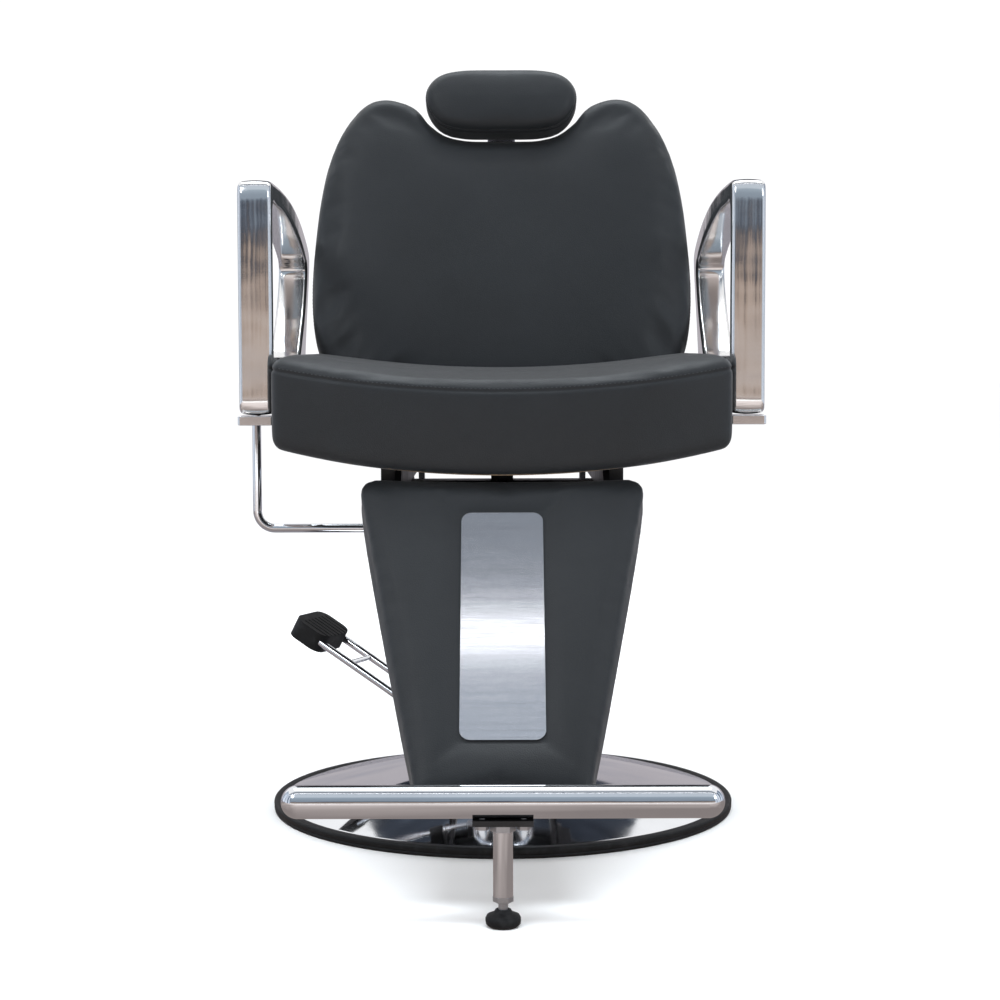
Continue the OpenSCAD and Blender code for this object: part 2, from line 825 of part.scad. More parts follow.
module back_panel() {
    color("#33373c") back_pose() difference() {
        slab(panel_front, panel_rear) back_outline(5);
        slab(panel_front - 1, panel_rear - 4) difference() {
            back_outline(12);
            translate([-300, -20]) square([600, 56]);
        }
        mirror_pair() block(ear_in - 16, ear_out + 16, panel_front - 1, panel_rear - 6, 0, 60);
        block(-post_w / 2 - 2, post_w / 2 + 2, post_y - 2, post_y + post_t + 2, 300, 480);
    }
}

// ---------------------------------------------------------------- headrest

module headrest_sleeve() {
    color("#3a3a3c") back_pose() difference() {
        block(-post_w / 2 - 5, post_w / 2 + 5, panel_front, post_y + post_t + 3.5, sleeve_low, sleeve_top);
        block(-post_w / 2 - run_gap, post_w / 2 + run_gap, post_y - run_gap, post_y + post_t + run_gap,
            sleeve_low - 1, sleeve_top + 1);
    }
}

module headrest_post() {
    head_rear = head_front + head_t;
    color("#b9babd") back_pose() {
        block(-post_w / 2, post_w / 2, post_y, post_y + post_t, post_low, post_top);
        block(-post_w / 2, post_w / 2, head_rear + 4, post_y, post_top - 8, post_top);
        block(-55, 55, head_rear + 0.1, head_rear + 4, 434, post_top + 4);
    }
}

module headrest_pad() {
    color("#3f454b") back_pose() slab(head_front, head_front + head_t)
        polygon(closed_curve(both_sides(head_half), 5));
}

// ---------------------------------------------------------------- leg rest

module leg_outline(inset = 0) {
    top_r = 15;
    bottom_r = 10;
    offset(delta = -inset) hull() {
        for (s = [-1, 1]) {
            translate([s * (leg_top_half - top_r), -top_r]) circle(r = top_r, $fn = 48);
            translate([s * (leg_bottom_half - bottom_r), -leg_len + bottom_r])
                circle(r = bottom_r, $fn = 48);
        }
    }
}

module leg_pockets() {
    mirror_pair() block(ear_in - 4, rail_in + lug_t + 10, 7.5, 80, -leg_drop - 17, 20);
}

module leg_cushion() {
    color("#3f454b") leg_pose() difference() {
        slab(0, leg_pad_t) leg_outline();
        leg_pockets();
    }
}

module leg_board() {
    color("#a5834f") leg_pose() difference() {
        slab(leg_pad_t + soft_gap, leg_pad_t + leg_board_t) leg_outline(7);
        leg_pockets();
    }
}

module leg_plate() {
    plate_w = 94;
    plate_h = 293;
    plate_top = -46;
    color("#b9babd") leg_pose() slab(-2, -0.05) translate([0, plate_top - plate_h / 2])
        rounded_rectangle(plate_w, plate_h, 12);
}

module leg_frame() {
    frame_front = leg_pad_t + leg_board_t + 0.1;
    color("#3a3a3c") {
        mirror_pair() along_x(ear_in, ear_out) difference() {
            union() {
                translate([leg_y, leg_z]) circle(r = 13);
                translate(link_front) circle(r = 13);
                translate([leg_y, leg_z]) rotate([0, 0, -leg_slope]) translate([-leg_depth, leg_drop])
                    polygon([[leg_depth - 12, -leg_drop - 4], [leg_depth + 12, -leg_drop + 4],
                        [frame_front + spine_t, -24], [frame_front + spine_t, -72],
                        [frame_front, -72], [frame_front, -leg_drop - 16.5],
                        [leg_depth - 6, -leg_drop - 16.5]]);
                polygon([[link_front[0] - 11, link_front[1] - 5], [link_front[0] + 11, link_front[1] + 7],
                    [leg_y + 38, leg_z - 24], [leg_y + 10, leg_z - 45]]);
            }
            translate([leg_y, leg_z]) circle(r = leg_pin_r + 0.02);
            translate(link_front) circle(r = link_pin_r + 0.02);
            translate([leg_y, leg_z]) rotate([0, 0, -leg_slope]) translate([-leg_depth, leg_drop])
                translate([0, -420]) square([frame_front - 0.1, 420 - leg_drop - 17]);
        }
        leg_pose() {
            block(-ear_in - 0.5, ear_in + 0.5, frame_front, frame_front + spine_t, -72, -36);
            block(-spine_half, spine_half, frame_front, frame_front + spine_t, spine_low, -36);
        }
        difference() {
            along_x(-spine_half, spine_half) polygon([[-482.5, 91.5], [-545, tongue_top],
                [bar_y - 14, tongue_top], [bar_y - 14, tongue_top - tongue_t],
                [-543, tongue_top - tongue_t], [-474, 84.2]]);
            for (x = [-foot_bolt_half, foot_bolt_half]) translate([x, bar_y, tongue_top - 20])
                cylinder(r = 4.1, h = 30);
        }
    }
}

module leg_pins() {
    color("#8b8c90") mirror_pair() {
        rod_x(ear_in - 1, rail_in + lug_t + 1.5, leg_y, leg_z, leg_pin_r);
        rod_x(rail_in + lug_t + 1, rail_in + lug_t + 5, leg_y, leg_z, 9);
        rod_x(link_in - 2, ear_out, link_front[0], link_front[1], link_pin_r);
        rod_x(link_in - 6, link_in - 2, link_front[0], link_front[1], 9);
    }
}

// ---------------------------------------------------------------- footrest

bar_half = bar_w / 2 - cap_l;

module footrest_bar() {
    color("#d9d9dc") difference() {
        rod_x(-bar_half, bar_half, bar_y, bar_z, bar_r);
        rod_x(-bar_half - 1, bar_half + 1, bar_y, bar_z, bar_r - bar_wall);
        for (x = [-foot_bolt_half, foot_bolt_half]) translate([x, bar_y, bar_z - bar_r - 1])
            cylinder(r = 4.2, h = 6);
    }
}

module footrest_caps() {
    color("#d9d9dc") mirror_pair() translate([bar_half, bar_y, bar_z]) rotate([0, 90, 0]) {
        intersection() {
            sphere(r = bar_r);
            cylinder(r = bar_r + 1, h = bar_r + 1);
        }
        translate([0, 0, -12]) cylinder(r = bar_r - bar_wall - 0.05, h = 12.2);
    }
}

module footrest_bolts() {
    color("#8b8c90") for (x = [-foot_bolt_half, foot_bolt_half]) translate([x, bar_y, 0]) {
        translate([0, 0, tongue_top - tongue_t - 5.5]) cylinder(r = 7.5, h = 5.5, $fn = 6);
        translate([0, 0, tongue_top - tongue_t]) cylinder(r = 4, h = tongue_t + 8);
    }
}

module support_leg() {
    color("#d9d9dc") translate([0, bar_y, 32]) difference() {
        cylinder(r = foot_leg_r, h = tongue_top - tongue_t - 32);
        translate([0, 0, -1]) cylinder(r = 7, h = 200);
    }
}

module support_nuts() {
    color("#8b8c90") translate([0, bar_y, 0]) {
        translate([0, 0, tongue_top - tongue_t - 7]) difference() {
            cylinder(r = 13.8, h = 7, $fn = 6);
            translate([0, 0, -1]) cylinder(r = foot_leg_r + 0.02, h = 9);
        }
        translate([0, 0, 26]) difference() {
            cylinder(r = 11, h = 6, $fn = 6);
            translate([0, 0, -1]) cylinder(r = 5 + run_gap, h = 9);
        }
    }
}

module foot_stud() {
    color("#8b8c90") translate([0, bar_y, 10]) cylinder(r = 5, h = 60);
}

module foot_pad() {
    color("#1b1b1d") translate([0, bar_y, 0]) difference() {
        rotate_extrude() polygon([[0, 0], [15, 0], [18, 3], [18.5, 6], [18.5, 9], [17, 12], [10, 15],
            [8, 18], [0, 18]]);
        translate([0, 0, 10]) cylinder(r = 5, h = 20);
    }
}

base_edge();
base_plate();
base_cover();
pump_flange();
pump_block();
pump_bolts();
pump_housing();
pump_cylinder();
pump_collar();
rod_seal();
pump_plunger();
pedal_bracket();
pedal_pin();
pedal_hub();
pedal_rods();
pedal_tie();
pedal_pad();
piston_rod();
piston_head();
thrust_bearing();
swivel_hub();
swivel_bolts();
seat_rail_left();
seat_rail_right();
seat_crossbars();
seat_board();
seat_cushion();
arm_left();
arm_right();
arm_foot_plates();
arm_brackets();
arm_bolts();
recline_lever();
recline_knob();
recline_brackets();
release_arm();
strut_tube();
strut_clevis();
strut_rod();
linkage_bars();
back_hinge();
back_pins();
back_board();
back_cushion();
back_panel();
headrest_sleeve();
headrest_post();
headrest_pad();
leg_frame();
leg_pins();
leg_board();
leg_cushion();
leg_plate();
footrest_bar();
footrest_caps();
footrest_bolts();
support_leg();
support_nuts();
foot_stud();
foot_pad();
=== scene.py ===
"""Looks of a reclining hydraulic barber chair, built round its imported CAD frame. Metres, +Z up, front at -Y."""

import json
import math

import bmesh
import bpy
import numpy as np
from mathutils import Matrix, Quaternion, Vector
from mathutils.bvhtree import BVHTree
from mathutils.geometry import tessellate_polygon
from mathutils.kdtree import KDTree


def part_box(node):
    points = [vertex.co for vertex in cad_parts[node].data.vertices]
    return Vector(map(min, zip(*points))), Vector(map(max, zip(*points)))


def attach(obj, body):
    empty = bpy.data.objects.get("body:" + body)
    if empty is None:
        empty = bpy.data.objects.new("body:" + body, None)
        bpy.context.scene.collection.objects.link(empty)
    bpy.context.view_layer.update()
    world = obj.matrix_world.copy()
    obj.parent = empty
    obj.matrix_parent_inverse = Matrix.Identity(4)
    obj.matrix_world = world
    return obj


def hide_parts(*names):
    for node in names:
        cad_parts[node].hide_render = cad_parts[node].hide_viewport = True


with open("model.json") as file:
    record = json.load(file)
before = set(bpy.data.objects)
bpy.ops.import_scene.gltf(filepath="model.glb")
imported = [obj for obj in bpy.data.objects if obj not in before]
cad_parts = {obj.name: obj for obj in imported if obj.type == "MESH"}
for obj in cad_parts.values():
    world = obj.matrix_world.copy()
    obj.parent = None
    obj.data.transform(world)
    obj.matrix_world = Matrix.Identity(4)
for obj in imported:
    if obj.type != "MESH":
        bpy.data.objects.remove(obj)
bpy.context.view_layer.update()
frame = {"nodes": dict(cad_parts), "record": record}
nodes = frame["nodes"]
scene = bpy.context.scene

MM = 0.001
ACROSS = np.array([1.0, 0.0, 0.0])


# ---------------------------------------------------------------- camera, light and floor


def aim(thing, direction, roll=0.0):
    """Turns an object so that its -Z looks along direction, then rolls it about that line."""
    direction = Vector(direction).normalized()
    thing.rotation_mode = "QUATERNION"
    thing.rotation_quaternion = Quaternion(direction, roll) @ direction.to_track_quat("-Z", "Y")


def make_camera():
    """The photograph's viewpoint: straight in front, a little above the seat, looking slightly down."""
    data = bpy.data.cameras.new("camera")
    data.sensor_width = 36
    data.lens = 74.05
    camera = bpy.data.objects.new("camera", data)
    scene.collection.objects.link(camera)
    camera.location = (0, -2.67, 0.602)
    pitch = math.radians(4.33)
    yaw = math.radians(-0.06)
    aim(camera, (math.sin(yaw), 1, -math.tan(pitch)), math.radians(0.15))
    scene.camera = camera


def area_light(name, place, target, size, power, colour, shown):
    """A soft light aimed at target; shown says whether reflections show it."""
    data = bpy.data.lights.new(name, "AREA")
    data.shape = "RECTANGLE"
    data.size, data.size_y = size
    data.energy = power
    data.color = colour
    light = bpy.data.objects.new(name, data)
    scene.collection.objects.link(light)
    light.location = place
    light.visible_glossy = shown
    aim(light, Vector(target) - Vector(place))


def sheet_of(name, width, depth, material):
    """A flat rectangle about the origin, part of the studio and not of the chair."""
    mesh = bpy.data.meshes.new(name)
    w, d = width / 2, depth / 2
    mesh.from_pydata([(-w, -d, 0), (w, -d, 0), (w, d, 0), (-w, d, 0)], [], [(0, 1, 2, 3)])
    thing = bpy.data.objects.new(name, mesh)
    scene.collection.objects.link(thing)
    mesh.materials.append(material)
    return thing


def stage_card(name, place, target, size, colours):
    """A glowing card that only shows in reflections, as studio walls and flags do."""
    card = sheet_of(name, *size, room_finish(name + "_finish", colours))
    card.location = place
    aim(card, Vector(target) - Vector(place))
    card.visible_camera = False
    card.visible_shadow = False
    card.visible_diffuse = False


def make_studio():
    world = bpy.data.worlds.new("studio")
    world.use_nodes = True
    sky = world.node_tree.nodes["Background"]
    sky.inputs["Color"].default_value = (0.985, 0.99, 1.0, 1)
    sky.inputs["Strength"].default_value = 1.08
    scene.world = world
    centre = (0, -0.1, 0.5)
    area_light("top_light", (0, -1.1, 3.4), (0, -0.2, 0.5), (2.2, 0.9), 66, (0.86, 0.94, 1), False)
    area_light("rear_top_light", (0, 0.6, 3.2), (0, -0.05, 0.5), (2.4, 1.2), 36, (0.84, 0.93, 1), True)
    area_light("key_light", (-1.9, -2.4, 2.6), centre, (0.9, 0.9), 16, (0.95, 0.97, 1), True)
    area_light("fill_light", (2.5, -2.3, 1.9), centre, (0.8, 1.2), 10, (0.9, 0.95, 1), True)
    area_light("back_light", (0.3, 2.8, 2.4), (0, 0.2, 0.6), (2.4, 1.0), 20, (1, 1, 1), False)
    stage_card("front_wall", (0, -5.2, 2.3), (0, 0, 2.3), (13, 4.9), wall_colours)
    stage_card("left_wall", (-5, -0.8, 2.3), (0, -0.8, 2.3), (9, 4.9), side_colours)
    stage_card("right_wall", (5, -0.8, 2.3), (0, -0.8, 2.3), (9, 4.9), side_colours)
    stage_card("ceiling", (0, -3.0, 4.4), (0, -3.0, 0), (11, 4.6), ceiling_colours)
    stage_card("back_wall", (0, 5.2, 1.1), (0, 0, 1.1), (13, 2.6), floor_colours)
    stage_card("dark_doorway", (0, 5.1, 3.9), (0, 0, 3.9), (2.9, 3.2), doorway_colours)
    stage_card("floor_glow", (0, 0, -0.004), (0, 0.001, 3), (14, 14), floor_colours)


def room_finish(name, colours):
    """A glowing finish for a card, so that it shows the same in every reflection."""
    s = Shader(name, (0, 0, 0), 1.0, specular=0)
    geometry = s.add("ShaderNodeNewGeometry")
    s.place = geometry.outputs["Position"]
    s.link(colours(s), s.surface.inputs["Emission Color"])
    s.surface.inputs["Emission Strength"].default_value = 1.0
    return s.material


def bands(s, value, stops):
    """A colour ramp: (place, colour) pairs over a value."""
    low, high = stops[0][0], stops[-1][0]
    node = s.add("ShaderNodeValToRGB")
    ramp = node.color_ramp
    while len(ramp.elements) < len(stops):
        ramp.elements.new(1.0)
    for element, (at, colour) in zip(ramp.elements, stops):
        element.position = (at - low) / (high - low)
        element.color = (*colour, 1)
    s.link(s.ramp(value, low, high), node.inputs["Fac"])
    return node.outputs["Color"]


def place_along(s, axis):
    """Where a point is on one axis: "X", "Y" or "Z"."""
    parts = s.add("ShaderNodeSeparateXYZ")
    s.link(s.place, parts.inputs["Vector"])
    return parts.outputs[axis]


def wall_colours(s):
    """Bright skirting, beige to chest height, dark furniture above it, then cool grey."""
    beige, pale, dark, cool = (0.44, 0.34, 0.28), (0.6, 0.52, 0.48), (0.03, 0.036, 0.05), (0.3, 0.36, 0.43)
    streak = s.noise(1, 5.0, 0.65, s.stretched((4.5, 1, 0.7)), 0.3)
    height = place_along(s, "Z")
    sway = s.math("MULTIPLY", s.ramp(streak, 0.3, 0.7, -0.34, 0.34), s.ramp(height, 0.35, 1.0))
    shifted = s.math("ADD", height, sway)
    return bands(s, shifted, [(-0.3, (1.7, 1.75, 1.8)), (0.13, (1.7, 1.7, 1.7)), (0.17, (0.34, 0.29, 0.27)),
                              (0.36, (0.36, 0.3, 0.28)), (0.46, pale), (0.82, beige), (0.95, dark),
                              (1.2, (0.1, 0.12, 0.16)), (1.4, cool), (2.2, cool), (4.8, (0.42, 0.5, 0.58))])


def side_colours(s):
    """Cool walls with tall bright windows between dark frames."""
    streak = s.noise(1, 3.0, 0.6, s.stretched((1, 0.9, 0.05)), 0.2)
    return bands(s, streak, [(0.3, (0.04, 0.05, 0.075)), (0.43, (0.2, 0.25, 0.33)), (0.5, (0.62, 0.72, 0.86)),
                             (0.56, (1.15, 1.2, 1.3)), (0.64, (0.5, 0.56, 0.66)), (0.75, (0.1, 0.12, 0.17))])


def ceiling_colours(s):
    """A cool ceiling with one bright strip of lamps across it."""
    cool, lamp = (0.36, 0.39, 0.44), (6.0, 6.0, 6.1)
    return bands(s, place_along(s, "Y"), [(-5.4, (0.6, 0.68, 0.76)), (-2.6, (0.62, 0.68, 0.76)),
                                          (-2.1, (0.46, 0.5, 0.56)), (-2.09, lamp), (-2.045, lamp), (-2.035, cool),
                                          (-1.2, (0.26, 0.29, 0.33)), (-0.7, (0.9, 0.95, 1.0))])


def floor_colours(s):
    """A beige floor in front that darkens towards and under the chair as a painted shadow, mottled by noise, and grey
    boards with dark seams behind.
    """
    along = place_along(s, "Y")
    wave = s.add("ShaderNodeTexWave", wave_type="BANDS", bands_direction="Y", wave_profile="SIN")
    wave.inputs["Scale"].default_value = 4.2
    wave.inputs["Distortion"].default_value = 3.2
    wave.inputs["Detail"].default_value = 2.0
    wave.inputs["Detail Scale"].default_value = 0.3
    s.link(s.place, wave.inputs["Vector"])
    boards = bands(s, wave.outputs["Fac"], [(0.0, (0.02, 0.02, 0.03)), (0.1, (0.1, 0.1, 0.13)),
                                            (0.28, (0.36, 0.36, 0.41)), (1.0, (0.5, 0.47, 0.5))])
    # Painted shadow of the chair: the beige goes from bright far in front to dark near and under the chair, with noise
    # mottling it.
    mottled_shadow_place = s.math("ADD", s.ramp(s.noise(0.9, 3.0), 0.3, 0.7, -0.9, 0.9), along)
    mix = s.add("ShaderNodeMix", data_type="RGBA")
    s.link(bands(s, mottled_shadow_place, [(-5.0, (1.05, 0.98, 0.96)), (-2.2, (0.88, 0.79, 0.77)), (-0.9, (0.5, 0.44, 0.42)),
                           (-0.2, (0.3, 0.26, 0.25))]), mix.inputs[6])
    s.link(boards, mix.inputs[7])
    s.link(s.ramp(along, -0.1, 0.2), mix.inputs[0])
    return mix.outputs[2]


def doorway_colours(s):
    """An unlit room behind, nearly black with a few grey patches."""
    return bands(s, s.noise(0.9, 2.0), [(0.3, (0.012, 0.014, 0.02)), (0.6, (0.05, 0.06, 0.08)),
                                        (0.7, (0.16, 0.19, 0.24))])


def make_floor():
    """The pale floor. Reflections show the boards of the floor_glow card in its place."""
    floor = sheet_of("floor", 60, 60, Shader("floor_pale", (0.95, 0.95, 0.95), 0.9).material)
    floor.visible_glossy = False


# ---------------------------------------------------------------- materials


class Shader:
    """A principled material with short calls for the node patterns that it is built from."""

    def __init__(self, name, colour, roughness, metallic=0.0, specular=0.5):
        self.material = bpy.data.materials.new(name)
        self.material.use_nodes = True
        self.material.diffuse_color = (*colour, 1)
        self.tree = self.material.node_tree
        self.surface = self.tree.nodes["Principled BSDF"]
        self.surface.inputs["Base Color"].default_value = (*colour, 1)
        self.surface.inputs["Roughness"].default_value = roughness
        self.surface.inputs["Metallic"].default_value = metallic
        self.surface.inputs["Specular IOR Level"].default_value = specular
        self.place = self.add("ShaderNodeTexCoord").outputs["Object"]

    def add(self, kind, **values):
        node = self.tree.nodes.new(kind)
        for key, value in values.items():
            setattr(node, key, value)
        return node

    def link(self, a, b):
        self.tree.links.new(a, b)

    def stretched(self, scale):
        """The place in the frame, scaled on each axis, for grain that runs one way."""
        mapping = self.add("ShaderNodeMapping")
        mapping.inputs["Scale"].default_value = scale
        self.link(self.place, mapping.inputs["Vector"])
        return mapping.outputs["Vector"]

    def noise(self, scale, detail=4.0, rough=0.55, vector=None, distortion=0.0):
        node = self.add("ShaderNodeTexNoise")
        node.inputs["Scale"].default_value = scale
        node.inputs["Detail"].default_value = detail
        node.inputs["Roughness"].default_value = rough
        node.inputs["Distortion"].default_value = distortion
        self.link(vector or self.place, node.inputs["Vector"])
        return node.outputs["Fac"]

    def cells(self, scale):
        """Rounded cells, as distance from each cell's middle."""
        node = self.add("ShaderNodeTexVoronoi", feature="SMOOTH_F1")
        node.inputs["Scale"].default_value = scale
        self.link(self.place, node.inputs["Vector"])
        return node.outputs["Distance"]

    def ramp(self, value, low, high, a=0.0, b=1.0):
        """A value that goes from a to b as another goes from low to high, and stops there."""
        node = self.add("ShaderNodeMapRange")
        node.inputs["From Min"].default_value = low
        node.inputs["From Max"].default_value = high
        node.inputs["To Min"].default_value = a
        node.inputs["To Max"].default_value = b
        self.link(value, node.inputs["Value"])
        return node.outputs["Result"]

    def blend(self, value, first, second):
        """A colour that goes from first to second as the value goes from 0 to 1."""
        node = self.add("ShaderNodeMix", data_type="RGBA")
        node.inputs[6].default_value = (*first, 1)
        node.inputs[7].default_value = (*second, 1)
        self.link(value, node.inputs[0])
        return node.outputs[2]

    def math(self, operation, a, b):
        node = self.add("ShaderNodeMath", operation=operation)
        for socket, value in zip(node.inputs, (a, b)):
            if isinstance(value, (int, float)):
                socket.default_value = value
            else:
                self.link(value, socket)
        return node.outputs[0]

    def colour(self, socket):
        self.link(socket, self.surface.inputs["Base Color"])

    def roughness(self, socket):
        self.link(socket, self.surface.inputs["Roughness"])

    def bump(self, height, distance, strength):
        """Relief distance metres deep, on top of any that is already there."""
        node = self.add("ShaderNodeBump")
        node.inputs["Strength"].default_value = strength
        node.inputs["Distance"].default_value = distance
        self.link(height, node.inputs["Height"])
        last = self.surface.inputs["Normal"]
        if last.is_linked:
            self.link(last.links[0].from_socket, node.inputs["Normal"])
        self.link(node.outputs["Normal"], last)


def make_leather(name, light, dark, gloss):
    """Soft vinyl leather: pebble grain about a millimetre across, pores, and slow shifts of tone."""
    s = Shader(name, light, gloss, specular=0.36)
    pebble = s.cells(820)
    pore = s.noise(2600, 2.0)
    cloudy = s.noise(5.5, 3.0)
    tone = s.math("ADD", s.ramp(cloudy, 0.35, 0.68, 0.0, 0.75), s.ramp(pebble, 0.25, 0.75, 0.0, 0.25))
    s.colour(s.blend(tone, light, dark))
    s.roughness(s.ramp(s.noise(38, 5.0), 0.3, 0.7, gloss - 0.05, gloss + 0.07))
    s.bump(s.ramp(pebble, 0.1, 0.8, 1.0, 0.0), 0.00016, 0.55)
    s.bump(pore, 0.00005, 0.35)
    s.bump(s.noise(22, 3.0), 0.0016, 0.16)
    s.surface.inputs["Sheen Weight"].default_value = 0.08
    s.surface.inputs["Sheen Roughness"].default_value = 0.5
    return s.material


def make_polished(name, colour, low, high, wave, scratch=0.25):
    """Bright metal with faint polishing waves and hairline marks."""
    s = Shader(name, colour, low, metallic=1.0)
    smudge = s.noise(9, 5.0)
    s.roughness(s.ramp(smudge, 0.38, 0.72, low, high))
    s.bump(s.noise(13, 1.5), wave, 0.5)
    s.bump(s.noise(60, 6.0, 0.7, s.stretched((1, 1, 14))), 0.00002, scratch)
    s.colour(s.blend(s.ramp(smudge, 0.3, 0.75), colour, tuple(c * 0.9 for c in colour)))
    return s.material


def make_brushed(name, colour, gloss, along, cut):
    """Steel with fine lines; along is the grain's scale on each axis, small along the lines, cut its depth."""
    s = Shader(name, colour, gloss, metallic=1.0)
    line = s.noise(1, 5.0, 0.75, s.stretched(along))
    broad = s.noise(1, 3.0, 0.6, s.stretched(tuple(a * 0.12 for a in along)))
    s.roughness(s.ramp(line, 0.25, 0.75, gloss - 0.05, gloss + 0.08))
    s.bump(line, 0.00006, cut)
    tone = s.math("ADD", s.ramp(line, 0.3, 0.7, 0.0, 0.6), s.ramp(broad, 0.3, 0.7, 0.0, 0.4))
    s.colour(s.blend(tone, colour, tuple(c * 0.78 for c in colour)))
    return s.material


def make_paint(name, colour, gloss):
    """Powder coat: orange peel, with thin wear and dust in its tone."""
    s = Shader(name, colour, gloss)
    s.bump(s.noise(420, 2.0), 0.00012, 0.45)
    s.roughness(s.ramp(s.noise(30, 4.0), 0.3, 0.7, gloss - 0.06, gloss + 0.1))
    s.colour(s.blend(s.ramp(s.noise(14, 6.0, 0.65), 0.42, 0.78), colour, tuple(c * 1.9 + 0.006 for c in colour)))
    return s.material


def make_cast(name, colour):
    """Sand-cast iron: coarse grain with darker hollows."""
    s = Shader(name, colour, 0.7)
    s.bump(s.noise(240, 6.0, 0.7), 0.0006, 0.7)
    s.colour(s.blend(s.ramp(s.noise(60, 5.0), 0.35, 0.7), colour, tuple(c * 0.55 for c in colour)))
    return s.material


def make_rubber(name, colour, gloss):
    """Moulded rubber, scuffed paler in patches."""
    s = Shader(name, colour, gloss, specular=0.26)
    s.bump(s.noise(900, 3.0), 0.00012, 0.6)
    scuff = s.noise(46, 8.0, 0.72)
    s.roughness(s.ramp(scuff, 0.35, 0.7, gloss - 0.1, gloss + 0.1))
    s.colour(s.blend(s.ramp(scuff, 0.5, 0.8), colour, tuple(c * 2.4 + 0.012 for c in colour)))
    return s.material


def make_plastic(name, colour):
    """Moulded plastic with a fine spark texture."""
    s = Shader(name, colour, 0.32)
    s.bump(s.noise(700, 2.0), 0.00006, 0.4)
    s.roughness(s.ramp(s.noise(40, 4.0), 0.3, 0.7, 0.26, 0.4))
    return s.material


def make_plywood(name):
    """Raw plywood: long grain across the board, sanded."""
    s = Shader(name, (0.42, 0.27, 0.14), 0.7)
    grain = s.noise(9, 6.0, 0.6, s.stretched((16, 1.2, 16)), 0.8)
    s.colour(s.blend(s.ramp(grain, 0.3, 0.7), (0.5, 0.34, 0.19), (0.3, 0.17, 0.08)))
    s.bump(grain, 0.0003, 0.5)
    return s.material


def make_thread(name):
    """Twisted sewing thread."""
    s = Shader(name, (0.012, 0.013, 0.016), 0.6)
    twist = s.noise(1800, 2.0)
    s.bump(twist, 0.0001, 0.8)
    s.colour(s.blend(twist, (0.008, 0.009, 0.011), (0.03, 0.032, 0.036)))
    return s.material


GREY = (0.0104, 0.0121, 0.0143)
MATERIALS = {
    "chrome": make_polished("chrome_plate", (0.82, 0.83, 0.85), 0.035, 0.1, 0.0006),
    "polished_aluminium": make_polished("polished_aluminium", (0.86, 0.855, 0.85), 0.07, 0.16, 0.0022, 0.5),
    "brushed_steel": make_brushed("brushed_steel", (0.7, 0.71, 0.74), 0.09, (12, 1400, 1400), 0.03),
    "zinc_steel": make_brushed("zinc_steel", (0.6, 0.61, 0.63), 0.36, (300, 300, 900), 0.6),
    "painted_steel": make_paint("black_powder_coat", (0.007, 0.007, 0.008), 0.42),
    "cast_iron": make_cast("grey_cast_iron", (0.085, 0.087, 0.092)),
    "rubber": make_rubber("black_rubber", (0.006, 0.006, 0.0065), 0.56),
    "black_plastic": make_plastic("black_plastic", (0.008, 0.008, 0.009)),
    "plywood": make_plywood("plywood"),
    "leather": make_leather("charcoal_leather", GREY, tuple(c * 0.7 for c in GREY), 0.47),
    "thread": make_thread("black_thread"),
}

# how far each node's sharp edges are eased, in millimetres
ROUNDED = {"arm_foot_plates": 3.2, "leg_plate": 0.7, "leg_frame": 0.9, "pedal_pad": 3.0, "pedal_bracket": 0.8,
           "footrest_bolts": 0.6, "support_nuts": 0.6, "pump_bolts": 0.8, "swivel_bolts": 0.6, "seat_rail_left": 1.0,
           "seat_rail_right": 1.0, "seat_crossbars": 1.0, "swivel_hub": 1.0, "arm_brackets": 0.8, "back_hinge": 0.8,
           "linkage_bars": 0.8, "pump_flange": 1.0, "base_plate": 1.0, "headrest_post": 0.8, "pump_collar": 0.6,
           "recline_brackets": 0.8, "foot_pad": 0.8}


def dress_cad_nodes():
    """Every CAD node gets its slot's finish, and the sharp edges of the plates and nuts a round that catches light."""
    slots = {p["node"]: p["material_slot"] for p in frame["record"]["subparts"]}
    for name, thing in nodes.items():
        finish = MATERIALS[slots[name]]
        for slot in thing.material_slots:
            slot.link = "OBJECT"
            slot.material = finish
        if name in ROUNDED:
            join = thing.modifiers.new("join", "WELD")
            join.merge_threshold = 0.01 * MM
            edge = thing.modifiers.new("rounded", "BEVEL")
            edge.width = ROUNDED[name] * MM
            edge.segments = 3
            edge.limit_method = "ANGLE"
            edge.angle_limit = math.radians(35)
            edge.use_clamp_overlap = True
            edge.harden_normals = True


# ---------------------------------------------------------------- mesh tools


def new_object(name, points, faces, material, smooth=True):
    mesh = bpy.data.meshes.new(name)
    mesh.from_pydata([tuple(p) for p in points], [], [tuple(int(i) for i in f) for f in faces])
    mesh.validate()
    mesh.polygons.foreach_set("use_smooth", [smooth] * len(mesh.polygons))
    thing = bpy.data.objects.new(name, mesh)
    scene.collection.objects.link(thing)
    mesh.materials.append(material)
    return thing


def points_of(mesh):
    """A mesh's points as rows of an array."""
    flat = np.empty(len(mesh.vertices) * 3)
    mesh.vertices.foreach_get("co", flat)
    return flat.reshape(-1, 3)


def set_points(mesh, points):
    """Moves a mesh's points to new places."""
    mesh.vertices.foreach_set("co", np.asarray(points, float).ravel())
    mesh.update()


def bake_modifiers(thing):
    """Turns an object's modifiers into its mesh."""
    now = bpy.context.evaluated_depsgraph_get()
    mesh = bpy.data.meshes.new_from_object(thing.evaluated_get(now), depsgraph=now)
    thing.modifiers.clear()
    old = thing.data
    thing.data = mesh
    bpy.data.meshes.remove(old)


def welded(node):
    """A CAD node's mesh with its shared corners joined: points and triangles."""
    mesh = bmesh.new()
    mesh.from_mesh(nodes[node].data)
    bmesh.ops.remove_doubles(mesh, verts=mesh.verts, dist=0.01 * MM)
    bmesh.ops.triangulate(mesh, faces=mesh.faces)
    mesh.verts.ensure_lookup_table()
    points = np.array([v.co[:] for v in mesh.verts])
    triangles = np.array([[v.index for v in f.verts] for f in mesh.faces])
    mesh.free()
    return points, triangles


